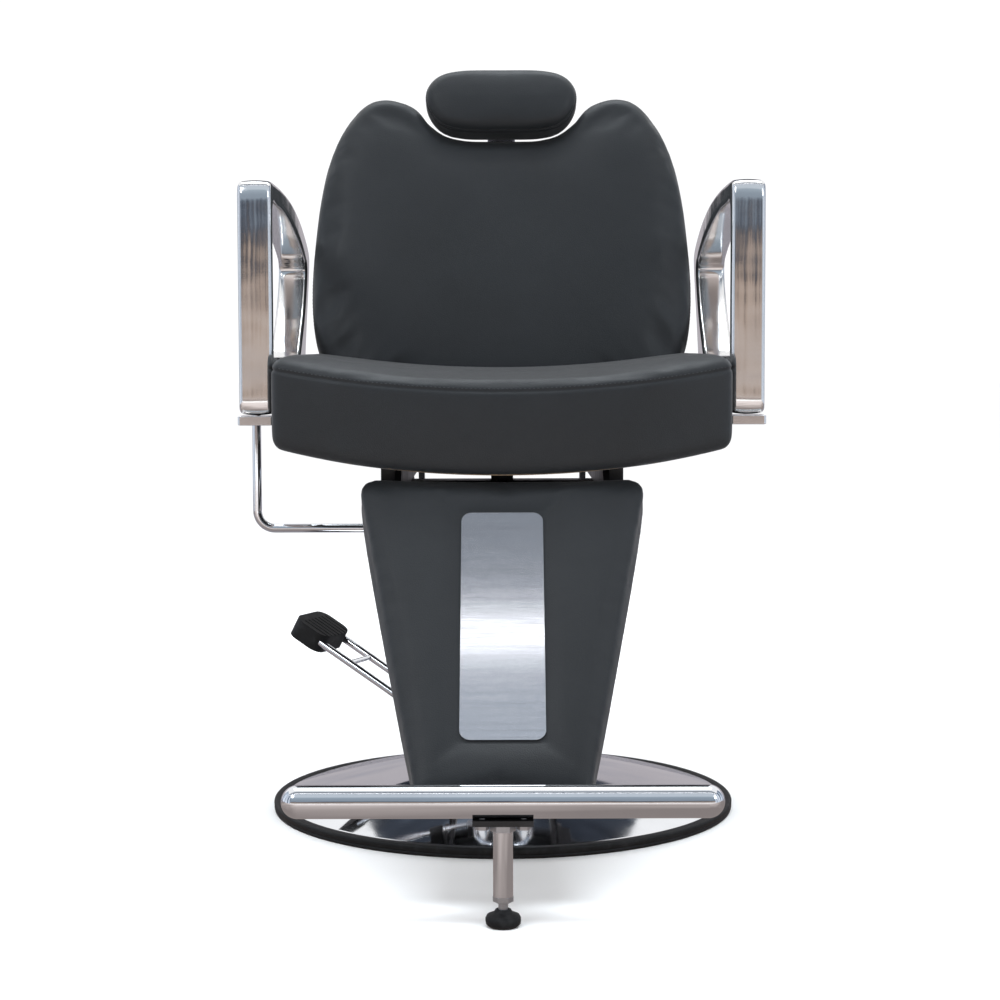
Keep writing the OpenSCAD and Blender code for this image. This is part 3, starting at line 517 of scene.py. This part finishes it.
def widest_plane(points, triangles, towards):
    """The normal of the largest flat face that looks along towards."""
    a, b, c = (points[triangles[:, i]] for i in range(3))
    cross = np.cross(b - a, c - a)
    area = np.linalg.norm(cross, axis=1)
    normal = cross / np.maximum(area, 1e-15)[:, None]
    facing = normal @ np.asarray(towards, float) > 0.5
    widest = normal[np.argmax(np.where(facing, area, 0))]
    flat = normal @ widest > 0.9999
    total = cross[flat].sum(axis=0)
    total[0] = 0
    return total / np.linalg.norm(total)


def chained(edges):
    """Loops of point numbers from directed edges."""
    after = {}
    for a, b in edges:
        after.setdefault(a, []).append(b)
    loops = []
    while after:
        start = min(after)
        loop, here = [], start
        while here in after:
            loop.append(here)
            ways = after[here]
            step = ways.pop()
            if not ways:
                del after[here]
            here = step
        loops.append(loop)
    return loops


def face_loops(node, normal):
    """The boundary loops, in the plane, of a node's outermost flat face that looks along normal."""
    points, triangles = welded(node)
    a, b, c = (points[triangles[:, i]] for i in range(3))
    cross = np.cross(b - a, c - a)
    facing = cross @ normal > 0.999 * np.linalg.norm(cross, axis=1)
    height = (a @ normal + b @ normal + c @ normal) / 3
    outer = facing & (height > height[facing].max() - 0.3 * MM)
    edges = set()
    for t in triangles[outer].tolist():
        for e in ((t[0], t[1]), (t[1], t[2]), (t[2], t[0])):
            if (e[1], e[0]) in edges:
                edges.remove((e[1], e[0]))
            else:
                edges.add(e)
    return [points[loop] for loop in sorted(chained(edges), key=len, reverse=True)]


def evenly(loop, step):
    """A closed loop's points again, spaced evenly."""
    closed = np.vstack([loop, loop[:1]])
    lengths = np.concatenate([[0], np.cumsum(np.linalg.norm(np.diff(closed, axis=0), axis=1))])
    count = max(16, round(lengths[-1] / step))
    at = np.linspace(0, lengths[-1], count, endpoint=False)
    return np.column_stack([np.interp(at, lengths, closed[:, i]) for i in range(closed.shape[1])])


def relaxed(loop, rounds):
    """A closed loop with its small corners eased."""
    for _ in range(rounds):
        loop = loop * 0.5 + (np.roll(loop, 1, 0) + np.roll(loop, -1, 0)) * 0.25
    return loop


def runs_left(loop):
    """Whether a closed loop in the plane runs counter-clockwise."""
    x, y = loop[:, 0], loop[:, 1]
    return np.sum(x * np.roll(y, -1) - np.roll(x, -1) * y) > 0


def outward(loop):
    """Unit normals that point out of a closed loop in the plane."""
    along = np.roll(loop, -1, 0) - np.roll(loop, 1, 0)
    normal = np.column_stack([along[:, 1], -along[:, 0]])
    normal /= np.linalg.norm(normal, axis=1)[:, None]
    return normal if runs_left(loop) else -normal


def loop_distance(points, loop):
    """Signed distance of plane points from a closed loop, negative inside, and its gradient."""
    best = np.full(len(points), 1e9)
    away = np.zeros((len(points), 2))
    inside = np.zeros(len(points), bool)
    for p, q in zip(loop, np.roll(loop, -1, 0)):
        edge = q - p
        t = np.clip(((points - p) @ edge) / (edge @ edge), 0, 1)
        gap = points - (p + t[:, None] * edge)
        size = np.einsum("ij,ij->i", gap, gap)
        nearer = size < best
        best[nearer] = size[nearer]
        away[nearer] = gap[nearer]
        crosses = (p[1] > points[:, 1]) != (q[1] > points[:, 1])
        if crosses.any() and q[1] != p[1]:
            reach = p[0] + (points[:, 1] - p[1]) * (q[0] - p[0]) / (q[1] - p[1])
            inside ^= crosses & (points[:, 0] < reach)
    size = np.sqrt(best)
    sign = np.where(inside, -1.0, 1.0)
    gradient = away * (sign / np.maximum(size, 1e-9))[:, None]
    return size * sign, gradient


# ---------------------------------------------------------------- upholstery


class Pad:
    """An upholstered form: an outline in its own plane, and a front and rear height over it.

    Its own coordinates are u across, v up its face and w out of its face. The front and rear heights are
    functions of (u, v, d), where d is the distance inside the outline's edge.
    """

    def __init__(self, normal, loop, front, rear, front_round, rear_round):
        self.w_axis = np.asarray(normal, float)
        self.u_axis = ACROSS
        self.v_axis = np.cross(self.w_axis, self.u_axis)
        self.loop = loop
        self.front = front
        self.rear = rear
        self.front_round = front_round
        self.rear_round = rear_round

    def inward(self, points):
        """Row-frame points in the form's own coordinates."""
        return np.column_stack([points @ self.u_axis, points @ self.v_axis, points @ self.w_axis])

    def outward(self, local):
        """The form's own coordinates back in the row frame."""
        return local[:, :1] * self.u_axis + local[:, 1:2] * self.v_axis + local[:, 2:3] * self.w_axis

    def distance(self, local):
        """Signed distance of points from the form's rounded surface, and its gradient."""
        d, slope = loop_distance(local[:, :2], self.loop)
        depth = np.maximum(-d, 0)
        front = self.front(local[:, 0], local[:, 1], depth)
        rear = self.rear(local[:, 0], local[:, 1], depth)
        w = local[:, 2]
        upper = w > (front + rear) / 2
        r = np.where(upper, self.front_round, self.rear_round)
        side = d + r
        cap = np.where(upper, w - front + r, rear + r - w)
        corner = np.hypot(np.maximum(side, 0), np.maximum(cap, 0))
        value = np.minimum(np.maximum(side, cap), 0) + corner - r
        share_side = np.where(corner > 1e-9, np.maximum(side, 0) / np.maximum(corner, 1e-9), side > cap)
        share_cap = np.where(corner > 1e-9, np.maximum(cap, 0) / np.maximum(corner, 1e-9), side <= cap)
        gradient = np.column_stack([slope * share_side[:, None], share_cap * np.where(upper, 1, -1)])
        return value, gradient

    def settle(self, points, rounds):
        """Moves points onto the form's surface."""
        local = self.inward(points)
        for _ in range(rounds):
            value, gradient = self.distance(local)
            local -= value[:, None] * gradient
        return self.outward(local)


def remeshed(name, points, faces, voxel):
    """A leather object with an even mesh, ready to be shaped."""
    thing = new_object(name, points, faces, MATERIALS["leather"])
    remesh = thing.modifiers.new("even_mesh", "REMESH")
    remesh.mode = "VOXEL"
    remesh.voxel_size = voxel
    remesh.use_smooth_shade = True
    bake_modifiers(thing)
    return thing


def slab(loop, front, rear, pad):
    """A plain closed slab over a plane loop between two heights, as points and faces."""
    count = len(loop)
    plan = np.vstack([loop, loop])
    heights = np.repeat([rear, front], count)
    points = pad.outward(np.column_stack([plan, heights]))
    faces = [tuple(reversed(range(count))), tuple(range(count, 2 * count))]
    faces += [(i, (i + 1) % count, (i + 1) % count + count, i + count) for i in range(count)]
    return points, faces


def shaped(name, pad, face, behind, voxel):
    """A pad's form before its filling swells it, from a plain slab between two heights."""
    form = remeshed(name, *slab(pad.loop, face, behind, pad), voxel)
    set_points(form.data, pad.settle(points_of(form.data), 6))
    smoothed(form, 2)
    set_points(form.data, pad.settle(points_of(form.data), 3))
    return form


def fill_with_pressure(thing, held, cap, pressure=4.0, frames=20):
    """Swells a pad as its filling does: cloth under pressure, held where it is sewn or stapled."""
    mesh = thing.data
    start = points_of(mesh)
    group = thing.vertex_groups.new(name="held")
    group.add([int(i) for i in np.nonzero(held)[0]], 1.0, "REPLACE")
    cloth = thing.modifiers.new("filling", "CLOTH")
    settings = cloth.settings
    settings.quality = 3
    settings.mass = 0.3
    settings.tension_stiffness = 25
    settings.compression_stiffness = 25
    settings.shear_stiffness = 12
    settings.bending_stiffness = 2
    settings.use_pressure = True
    settings.uniform_pressure_force = pressure
    settings.effector_weights.gravity = 0
    settings.vertex_group_mass = "held"
    cloth.collision_settings.use_collision = False
    cloth.collision_settings.use_self_collision = False
    cloth.point_cache.frame_start = 1
    cloth.point_cache.frame_end = frames
    for step in range(1, frames + 1):
        scene.frame_set(step)
    now = bpy.context.evaluated_depsgraph_get()
    moved = points_of(thing.evaluated_get(now).data)
    thing.modifiers.clear()
    thing.vertex_groups.clear()
    scene.frame_set(1)
    shift = moved - start
    size = np.linalg.norm(shift, axis=1)
    share = cap * np.tanh(size / cap) / np.maximum(size, 1e-9)
    set_points(mesh, start + shift * share[:, None])


def smoothed(thing, rounds):
    """Eases the mesh's small bumps."""
    ease = thing.modifiers.new("ease", "SMOOTH")
    ease.iterations = rounds
    bake_modifiers(thing)


def subdivided(thing):
    """One round of subdivision, applied."""
    thing.modifiers.new("finer", "SUBSURF").levels = 1
    bake_modifiers(thing)


def refine_near(thing, path, reach):
    """Splits the faces near a seam, so that its valley has points of its own."""
    mesh = bmesh.new()
    mesh.from_mesh(thing.data)
    tree = path_tree(path)
    near = [v for v in mesh.verts if tree.find_range(v.co, reach)]
    chosen = set(near)
    edges = [e for e in mesh.edges if e.verts[0] in chosen and e.verts[1] in chosen]
    bmesh.ops.subdivide_edges(mesh, edges=edges, cuts=1, use_grid_fill=True, smooth=0.0)
    mesh.to_mesh(thing.data)
    mesh.free()
    thing.data.polygons.foreach_set("use_smooth", [True] * len(thing.data.polygons))


def path_tree(path):
    tree = KDTree(len(path))
    for i, p in enumerate(path):
        tree.insert(Vector(p), i)
    tree.balance()
    return tree


def on_surface(thing, path):
    """A path's points moved to the nearest points of a surface, with the normals there."""
    tree = BVHTree.FromPolygons([v.co for v in thing.data.vertices], [p.vertices for p in thing.data.polygons])
    places, normals = [], []
    for p in path:
        place, normal, _, _ = tree.find_nearest(Vector(p))
        places.append(place)
        normals.append(normal)
    return np.array(places), np.array(normals)


def press_seam(thing, path, depth, width):
    """Draws the surface in along a path, as a sewn seam does."""
    tree = path_tree(evenly(path, 1.2 * MM))
    mesh = thing.data
    points = points_of(mesh)
    normals = np.empty(len(mesh.vertices) * 3)
    mesh.vertex_normals.foreach_get("vector", normals)
    normals = normals.reshape(-1, 3)
    for i, p in enumerate(points):
        gap = tree.find(Vector(p))[2]
        if gap < 4 * width:
            points[i] = p - normals[i] * depth * math.exp(-((gap / width) ** 2))
    set_points(mesh, points)


def sew(thing, seam, depth, width):
    """A seam drawn in along a path, with a mesh fine enough to show it."""
    refine_near(thing, evenly(seam, 3 * MM), 7 * MM)
    press_seam(thing, seam, depth, width)


def stitch_row(name, thing, path, body, pitch=5.2 * MM, length=3.9 * MM, radius=0.42 * MM, sink=0.15 * MM):
    """A row of thread stitches that lie on a surface along a closed path."""
    spaced = evenly(path, pitch)
    places, normals = on_surface(thing, spaced)
    ahead = np.roll(places, -1, 0) - np.roll(places, 1, 0)
    ahead /= np.linalg.norm(ahead, axis=1)[:, None]
    sides, rings = 6, 5
    slim_ends, sag, proud = 0.75, radius, 0.3 * radius
    points, faces = [], []
    for place, normal, along in zip(places, normals, ahead):
        side = np.cross(normal, along)
        side /= np.linalg.norm(side)
        up = np.cross(along, side)
        base = len(points)
        for k in range(rings):
            t = k / (rings - 1) * 2 - 1
            girth = radius * (1 - slim_ends * t**4)
            rise = proud - sink - sag * t * t
            for j in range(sides):
                a = 2 * math.pi * j / sides
                points.append(place + along * t * length / 2 + up * (rise + girth * math.sin(a))
                              + side * girth * math.cos(a))
        for k in range(rings - 1):
            for j in range(sides):
                m = (j + 1) % sides
                faces.append((base + k * sides + j, base + k * sides + m,
                              base + (k + 1) * sides + m, base + (k + 1) * sides + j))
        faces.append(tuple(base + j for j in reversed(range(sides))))
        faces.append(tuple(base + (rings - 1) * sides + j for j in range(sides)))
    row = new_object(name, points, faces, MATERIALS["thread"])
    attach(row, body)


def piping(name, thing, path, body, radius, lift):
    """A closed leather bead along a path on a surface, as a welted seam has."""
    places, normals = on_surface(thing, evenly(path, 4 * MM))
    places = relaxed(places + normals * lift, 2)
    ahead = np.roll(places, -1, 0) - np.roll(places, 1, 0)
    ahead /= np.linalg.norm(ahead, axis=1)[:, None]
    side = np.cross(normals, ahead)
    side /= np.linalg.norm(side, axis=1)[:, None]
    up = np.cross(ahead, side)
    sides = 8
    count = len(places)
    turn = [2 * math.pi * j / sides for j in range(sides)]
    points = [places[i] + radius * (math.cos(a) * side[i] + math.sin(a) * up[i]) for i in range(count) for a in turn]
    faces = [(i * sides + j, i * sides + (j + 1) % sides, (i + 1) % count * sides + (j + 1) % sides,
              (i + 1) % count * sides + j) for i in range(count) for j in range(sides)]
    bead = new_object(name, points, faces, MATERIALS["leather"])
    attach(bead, body)


def face_height(node, x, y, downward):
    """Height where a vertical line meets a node, from above or from below."""
    points, triangles = welded(node)
    tree = BVHTree.FromPolygons([Vector(p) for p in points], triangles.tolist())
    start = Vector((x, y, 5 if downward else -5))
    return tree.ray_cast(start, Vector((0, 0, -1 if downward else 1)))[0].z


def dish(node, y, half, downward):
    """A node's height over X as a parabola: its height at the middle and its rise at half."""
    middle = face_height(node, 0.0005, y, downward)
    probe = 0.8 * half
    rise = (face_height(node, probe, y, downward) - middle) * (half / probe) ** 2
    return middle, rise


def ease_in(value, low, high):
    """0 below low, 1 above high, and a smooth step between."""
    t = np.clip((value - low) / (high - low), 0, 1)
    return t * t * (3 - 2 * t)


def crown(height, reach):
    """How far a face swells at a depth inside its edge."""
    return lambda depth: height * (1 - np.exp(-depth / reach))


def hull_loop(points):
    """The convex outline of plane points, counter-clockwise."""
    order = sorted(set(map(tuple, np.round(points, 7).tolist())))

    def half(sequence):
        chain = []
        for p in sequence:
            while len(chain) > 1 and ((chain[-1][0] - chain[-2][0]) * (p[1] - chain[-2][1])
                                      - (chain[-1][1] - chain[-2][1]) * (p[0] - chain[-2][0])) <= 0:
                chain.pop()
            chain.append(p)
        return chain[:-1]

    return np.array(half(order) + half(reversed(order)))


# ---------------------------------------------------------------- seat


def make_seat_cushion():
    """The seat: dished across, flat on its board, with a stitched seam round its top edge."""
    low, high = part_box("seat_cushion")
    half = high.x
    middle_y = (low.y + high.y) / 2
    top, top_rise = dish("seat_cushion", middle_y, half, True)
    under, under_rise = dish("seat_board", middle_y, half, False)
    swell = crown(3.5 * MM, 45 * MM)

    def front(u, v, depth):
        return top - 2 * MM + top_rise * (u / half) ** 2 + swell(depth)

    def rear(u, v, depth):
        return under - 1 * MM + under_rise * (u / half) ** 2

    points, _ = welded("seat_cushion")
    loop = relaxed(evenly(hull_loop(points[:, :2]), 5 * MM), 4)
    pad = Pad((0, 0, 1), loop, front, rear, 15 * MM, 13 * MM)
    cushion = shaped("seat_upholstery", pad, top + top_rise * 0.6, under, 6 * MM)
    seam_drop = 16 * MM
    local = pad.inward(points_of(cushion.data))
    seam_at = pad.front(local[:, 0], local[:, 1], 0 * local[:, 0]) - seam_drop
    depth = -loop_distance(local[:, :2], loop)[0]
    near_seam = (np.abs(local[:, 2] - seam_at) < 3.5 * MM) & (depth < 5 * MM)
    base = local[:, 2] < pad.rear(local[:, 0], local[:, 1], 0) + 9 * MM
    fill_with_pressure(cushion, near_seam | base, 5 * MM)
    smoothed(cushion, 3)
    subdivided(cushion)
    seam = pad.outward(np.column_stack([loop, pad.front(loop[:, 0], loop[:, 1], 0) - seam_drop]))
    seam, _ = on_surface(cushion, seam)
    sew(cushion, seam, 1.9 * MM, 2.1 * MM)
    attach(cushion, "seat")
    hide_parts("seat_cushion")
    stitch_row("seat_top_stitching", cushion, seam + pad.w_axis * 3.2 * MM, "seat")


# ---------------------------------------------------------------- back, headrest and leg rest

BOARD_DEPTH = 12 * MM


def faced_pad(node, towards, front_round, rear_round, front, extra=0.0):
    """A pad on a flat CAD solid: its plane, outline and depth come from the solid's largest face.

    front is the shape that its face adds to that plane, and extra how far its rear reaches past the solid's.
    """
    points, triangles = welded(node)
    normal = widest_plane(points, triangles, towards)
    pad = Pad(normal, None, None, None, front_round, rear_round)
    loop = pad.inward(face_loops(node, normal)[0])[:, :2]
    pad.loop = relaxed(evenly(loop, 5 * MM), 2)
    depths = points @ normal
    face, behind = depths.max(), depths.min() - extra
    pad.front = lambda u, v, d: face + front(u, v, d)
    pad.rear = lambda u, v, d: behind + 0 * u
    pad.face, pad.behind = face, behind
    return pad


def upholster(name, pad, voxel, hold, cap):
    """The covered form of a pad, swollen by its filling."""
    form = shaped(name, pad, pad.face, pad.behind, voxel)
    fill_with_pressure(form, hold(pad.inward(points_of(form.data))), cap)
    smoothed(form, 3)
    return form


def held_at(pad, drop, seam_reach, wall_reach, rear_reach):
    """Which points the filling can't move: those along a seam on the wall, and those by the board behind."""

    def held(local):
        depth = -loop_distance(local[:, :2], pad.loop)[0]
        on_seam = (np.abs(local[:, 2] - (pad.face - drop)) < seam_reach) & (depth < wall_reach)
        return on_seam | (local[:, 2] < pad.behind + rear_reach)

    return held


def seam_on_wall(pad, form, drop):
    """A seam round a pad's wall, at a depth behind its face, on the form's surface."""
    path = pad.outward(np.column_stack([pad.loop, np.full(len(pad.loop), pad.face - drop)]))
    places, _ = on_surface(form, path)
    return places


def make_back_cushion():
    """The back's front cover, which wraps its board's edge, with a stitched seam round its wall."""
    swell = crown(7 * MM, 70 * MM)
    pad = faced_pad("back_cushion", (0, -1, 0.2), 20 * MM, 7 * MM, lambda u, v, d: swell(d) - 5 * MM, BOARD_DEPTH)
    seam_drop = 38 * MM
    held = held_at(pad, seam_drop, 4 * MM, 6 * MM, 10 * MM)
    cushion = upholster("back_upholstery", pad, 6 * MM, held, 6 * MM)
    subdivided(cushion)
    seam = seam_on_wall(pad, cushion, seam_drop)
    sew(cushion, seam, 1.8 * MM, 2.2 * MM)
    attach(cushion, "back")
    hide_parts("back_cushion")
    stitch_row("back_stitching", cushion, seam + pad.w_axis * 3.4 * MM, "back")


def make_back_panel():
    """The back's rear cover, with a stitched border inside its edge."""
    swell = crown(4 * MM, 60 * MM)
    pad = faced_pad("back_panel", (0, 1, -0.2), 9 * MM, 2 * MM, lambda u, v, d: swell(d) - 3 * MM)
    panel = upholster("back_panel_upholstery", pad, 5 * MM, lambda local: local[:, 2] < pad.behind + 8 * MM, 3 * MM)
    subdivided(panel)

    def border(inset):
        path = relaxed(pad.loop - outward(pad.loop) * inset, 12)
        return pad.outward(np.column_stack([path, np.full(len(path), pad.face)]))

    seam, _ = on_surface(panel, border(17 * MM))
    sew(panel, seam, 1.5 * MM, 2.2 * MM)
    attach(panel, "back")
    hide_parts("back_panel")
    stitch_row("back_panel_stitching", panel, border(20.5 * MM), "back")


def make_headrest():
    """The headrest's cushion, with a welt round its wall."""
    swell = crown(9 * MM, 26 * MM)
    pad = faced_pad("headrest_pad", (0, -1, 0.2), 13 * MM, 12 * MM, lambda u, v, d: swell(d) - 6 * MM)
    seam_drop = 17 * MM
    held = held_at(pad, seam_drop, 3 * MM, 5 * MM, 6 * MM)
    form = upholster("headrest_upholstery", pad, 4.5 * MM, held, 4 * MM)
    subdivided(form)
    seam = seam_on_wall(pad, form, seam_drop)
    press_seam(form, seam, 1.5 * MM, 2.4 * MM)
    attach(form, "headrest")
    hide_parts("headrest_pad")
    piping("headrest_welt", form, seam, "headrest", 1.5 * MM, 0.2 * MM)


def make_leg_cushion():
    """The leg rest's cover, padded round the steel plate that is pressed into it."""
    plate_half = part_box("leg_plate")[1].x
    swell = crown(5 * MM, 22 * MM)
    points, triangles = welded("leg_cushion")
    normal = widest_plane(points, triangles, (0, -1, 0.5))
    rough = Pad(normal, None, None, None, 0, 0)
    plate_local = rough.inward(points_of(nodes["leg_plate"].data))
    plate_v = plate_local[:, 1].min(), plate_local[:, 1].max()

    def off_plate(u, v):
        """0 under the plate, 1 well away from it."""
        outside = np.maximum(np.abs(u) - plate_half, np.maximum(plate_v[0] - v, v - plate_v[1]))
        return ease_in(outside, 0, 26 * MM)

    pad = faced_pad("leg_cushion", (0, -1, 0.5), 6 * MM, 5 * MM,
                    lambda u, v, d: (swell(d) - 1.5 * MM) * off_plate(u, v), BOARD_DEPTH + 1.3 * MM)
    pad.loop = pad.loop + outward(pad.loop) * 2 * MM
    upper_end = pad.loop[:, 1].max()
    pad.loop[:, 1] += 3.5 * MM * ease_in(pad.loop[:, 1], upper_end - 60 * MM, upper_end)
    local = pad.inward(points)
    inner = local[(local[:, 2] < pad.face - 3 * MM) & (local[:, 2] > pad.behind + BOARD_DEPTH + 3 * MM)]
    pocket_u = np.abs(inner[:, 0]).min(), np.abs(inner[:, 0]).max()
    pocket_v = inner[:, 1].min()
    pocket_w = inner[:, 2].max()

    def held(local):
        under_plate = off_plate(local[:, 0], local[:, 1]) < 0.02
        return (under_plate & (local[:, 2] > pad.face - 5 * MM)) | (local[:, 2] < pad.behind + 14 * MM)

    form = upholster("leg_rest_upholstery", pad, 5 * MM, held, 4 * MM)
    local = pad.inward(points_of(form.data))
    pressed = np.minimum(local[:, 2], pad.face - 0.2 * MM)
    local[:, 2] = np.where(off_plate(local[:, 0], local[:, 1]) < 0.02, pressed, local[:, 2])
    set_points(form.data, pad.outward(local))
    cut_pockets(form, pad, pocket_u, pocket_v, pocket_w)
    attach(form, "leg_rest")
    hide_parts("leg_cushion")


def cut_pockets(form, pad, across, low, front):
    """Cuts the two pockets at a pad's upper rear corners that its hinges stand in."""
    for side in (-1, 1):
        u = sorted((side * across[0], side * across[1]))
        v = (low, low + 90 * MM)
        w = (front - 90 * MM, front)
        corners = np.array([(a, b, c) for a in u for b in v for c in w])
        faces = [(0, 1, 3, 2), (4, 6, 7, 5), (0, 4, 5, 1), (2, 3, 7, 6), (0, 2, 6, 4), (1, 5, 7, 3)]
        tool = new_object("pocket_tool", pad.outward(corners), faces, MATERIALS["leather"], False)
        face_outwards(tool)
        cut_away(form, tool)


def cut_away(thing, tool):
    """Takes a tool's shape out of an object, and removes the tool."""
    cut = thing.modifiers.new("cut", "BOOLEAN")
    cut.operation = "DIFFERENCE"
    cut.solver = "EXACT"
    cut.object = tool
    bake_modifiers(thing)
    bpy.data.objects.remove(tool)


def face_outwards(thing):
    """Turns every face of a closed mesh to look out of it."""
    mesh = bmesh.new()
    mesh.from_mesh(thing.data)
    bmesh.ops.recalc_face_normals(mesh, faces=mesh.faces)
    mesh.to_mesh(thing.data)
    mesh.free()


# ---------------------------------------------------------------- arms


def edge_profile(half, radius, bulge, steps=6, across=8):
    """Across a band: (place across it, how far its surface lies in from its outline).

    The middle stands proud of the corners' shoulders by bulge.
    """
    corner = [(half - radius + radius * math.cos(a), radius - radius * math.sin(a) + bulge)
              for a in (math.pi / 2 * k / steps for k in range(steps + 1))]
    flat = half - radius
    middle = [(flat * t, bulge * t * t) for t in (1 - k / across for k in range(1, 2 * across))]
    return corner + middle + [(-x, d) for x, d in reversed(corner)]


def band_rings(loop, profile, inside):
    """Rings of a closed band: the outline moved in by the profile's depth, at each place across."""
    normal = outward(loop)
    rings = []
    for across, depth in profile:
        plan = loop + normal * (depth if inside else -depth)
        rings.append(np.column_stack([np.full(len(loop), across), plan]))
    return rings


def ring_faces(first, count, rings, flip):
    """Faces between rings of count points each; flip turns them over."""
    faces = []
    for r in range(rings - 1):
        for i in range(count):
            a, b = first + r * count + i, first + r * count + (i + 1) % count
            face = (a, b, b + count, a + count)
            faces.append(face[::-1] if flip else face)
    return faces


def make_arm(node, name):
    """A polished loop arm: its CAD outline with a rounded, slightly crowned band all the way round."""
    low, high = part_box(node)
    centre, half = (low.x + high.x) / 2, (high.x - low.x) / 2
    loops = [loop[:, 1:] for loop in face_loops(node, np.array([1.0, 0, 0]))[:2]]
    loops.sort(key=lambda p: np.ptp(p[:, 0]), reverse=True)
    smooth = []
    for loop in loops:
        loop = relaxed(evenly(loop, 2.5 * MM), 3)
        smooth.append(loop if runs_left(loop) else loop[::-1])
    points, faces, ends = [], [], []
    for loop, inside in zip(smooth, (False, True)):
        corner, bulge = (5 * MM, 0.3 * MM) if inside else (6.5 * MM, 0.9 * MM)
        profile = edge_profile(half, corner, bulge)
        rings = band_rings(loop, profile, inside)
        first = len(points)
        for ring in rings:
            points += (ring + [centre, 0, 0]).tolist()
        faces += ring_faces(first, len(loop), len(rings), inside)
        ends.append((first, first + (len(rings) - 1) * len(loop), len(loop)))
    for which, side in ((0, 1), (1, -1)):
        order = [end[which] + i for end in ends for i in range(end[2])]
        outlines = [[Vector((points[end[which] + i][1], points[end[which] + i][2], 0)) for i in range(end[2])]
                    for end in ends]
        for t in tessellate_polygon(outlines):
            a, b, c = (order[i] for i in t)
            pa, pb, pc = (np.array(points[i]) for i in (a, b, c))
            up = np.cross(pb - pa, pc - pa)[0]
            faces.append((a, b, c) if up * side > 0 else (c, b, a))
    arm = new_object(name, points, faces, MATERIALS["polished_aluminium"])
    face_outwards(arm)
    arm.data.polygons.foreach_set("use_smooth", [True] * len(arm.data.polygons))
    even = arm.modifiers.new("even_shade", "WEIGHTED_NORMAL")
    even.mode = "FACE_AREA"
    even.keep_sharp = True
    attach(arm, "seat")
    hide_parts(node)


# ---------------------------------------------------------------- base


def lathe(name, profile, material, turns=192):
    """A turned piece from a closed loop of (radius, height) points, smooth round its axis."""
    points, faces = [], []
    count = len(profile)
    for i in range(turns):
        a = 2 * math.pi * i / turns
        points += [(r * math.cos(a), r * math.sin(a), z) for r, z in profile]
    for i in range(turns):
        j = (i + 1) % turns
        for k in range(count):
            m = (k + 1) % count
            faces.append((i * count + k, j * count + k, j * count + m, i * count + m))
    thing = new_object(name, points, faces, material)
    face_outwards(thing)
    return thing


def make_base_cover():
    """The chrome cover: a shallow dome from the pump to a rolled rim inside the rubber edge."""
    low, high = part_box("base_cover")
    rim = high.x
    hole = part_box("pump_housing")[1].x + 0.4 * MM
    rim_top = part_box("base_edge")[1].z - 1 * MM
    thick = 2.4 * MM
    steps = 56
    dome = 1.35

    def height(r):
        return rim_top + (high.z - rim_top) * (1 - ((r - hole) / (rim - hole)) ** dome)

    radii = [hole + (rim - hole) * k / steps for k in range(steps + 1)]
    floor_z = low.z + 0.3 * MM
    upper = [(r, height(r)) for r in radii]
    lower = [(r, max(floor_z, height(r) - thick)) for r in reversed(radii)]
    cover = lathe("base_cover_shell", upper + lower, MATERIALS["chrome"])
    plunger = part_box("pump_plunger")
    place = (plunger[0] + plunger[1]) / 2
    cut_away(cover, round_tool("plunger_hole_tool", (place.x, place.y, 0.05), 8.5 * MM, 0.1))
    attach(cover, "base")
    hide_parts("base_cover")


def round_tool(name, place, radius, height, sides=48):
    """A plain upright cylinder to cut a hole with."""
    mesh = bmesh.new()
    bmesh.ops.create_cone(mesh, cap_ends=True, segments=sides, radius1=radius, radius2=radius, depth=height)
    bmesh.ops.translate(mesh, verts=mesh.verts, vec=Vector(place))
    data = bpy.data.meshes.new(name)
    mesh.to_mesh(data)
    mesh.free()
    tool = bpy.data.objects.new(name, data)
    scene.collection.objects.link(tool)
    return tool


def make_base_edge():
    """The rubber edge that the base stands on: a bead with a lip over the cover's rim and ribs below."""
    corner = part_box("base_edge")[1]
    outer, top = corner.x, corner.z
    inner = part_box("base_cover")[1].x + 0.4 * MM
    bead = 3.2 * MM
    profile = [(inner, 0), (outer - 3 * MM, 0), (outer - 1.2 * MM, 0.6 * MM), (outer - 0.6 * MM, 2 * MM),
               (outer - 0.2 * MM, 3.4 * MM), (outer - 1.1 * MM, 4.2 * MM), (outer - 1.1 * MM, 4.9 * MM),
               (outer - 0.2 * MM, 5.7 * MM)]
    profile += [(outer - bead + bead * math.cos(a), top - bead + bead * math.sin(a))
                for a in (math.radians(d) for d in range(0, 91, 15))]
    profile += [(inner - 1.5 * MM, top), (inner - 2.6 * MM, top - 0.5 * MM), (inner - 2.8 * MM, top - 0.9 * MM),
                (inner, top - 0.95 * MM)]
    edge = lathe("base_rubber_edge", profile, MATERIALS["rubber"])
    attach(edge, "base")
    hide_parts("base_edge")


# ---------------------------------------------------------------- the chair

make_camera()
make_studio()
make_floor()
dress_cad_nodes()
make_base_cover()
make_base_edge()
make_arm("arm_left", "left_arm_loop")
make_arm("arm_right", "right_arm_loop")
make_seat_cushion()
make_back_cushion()
make_back_panel()
make_headrest()
make_leg_cushion()

scene.view_settings.view_transform = "Standard"
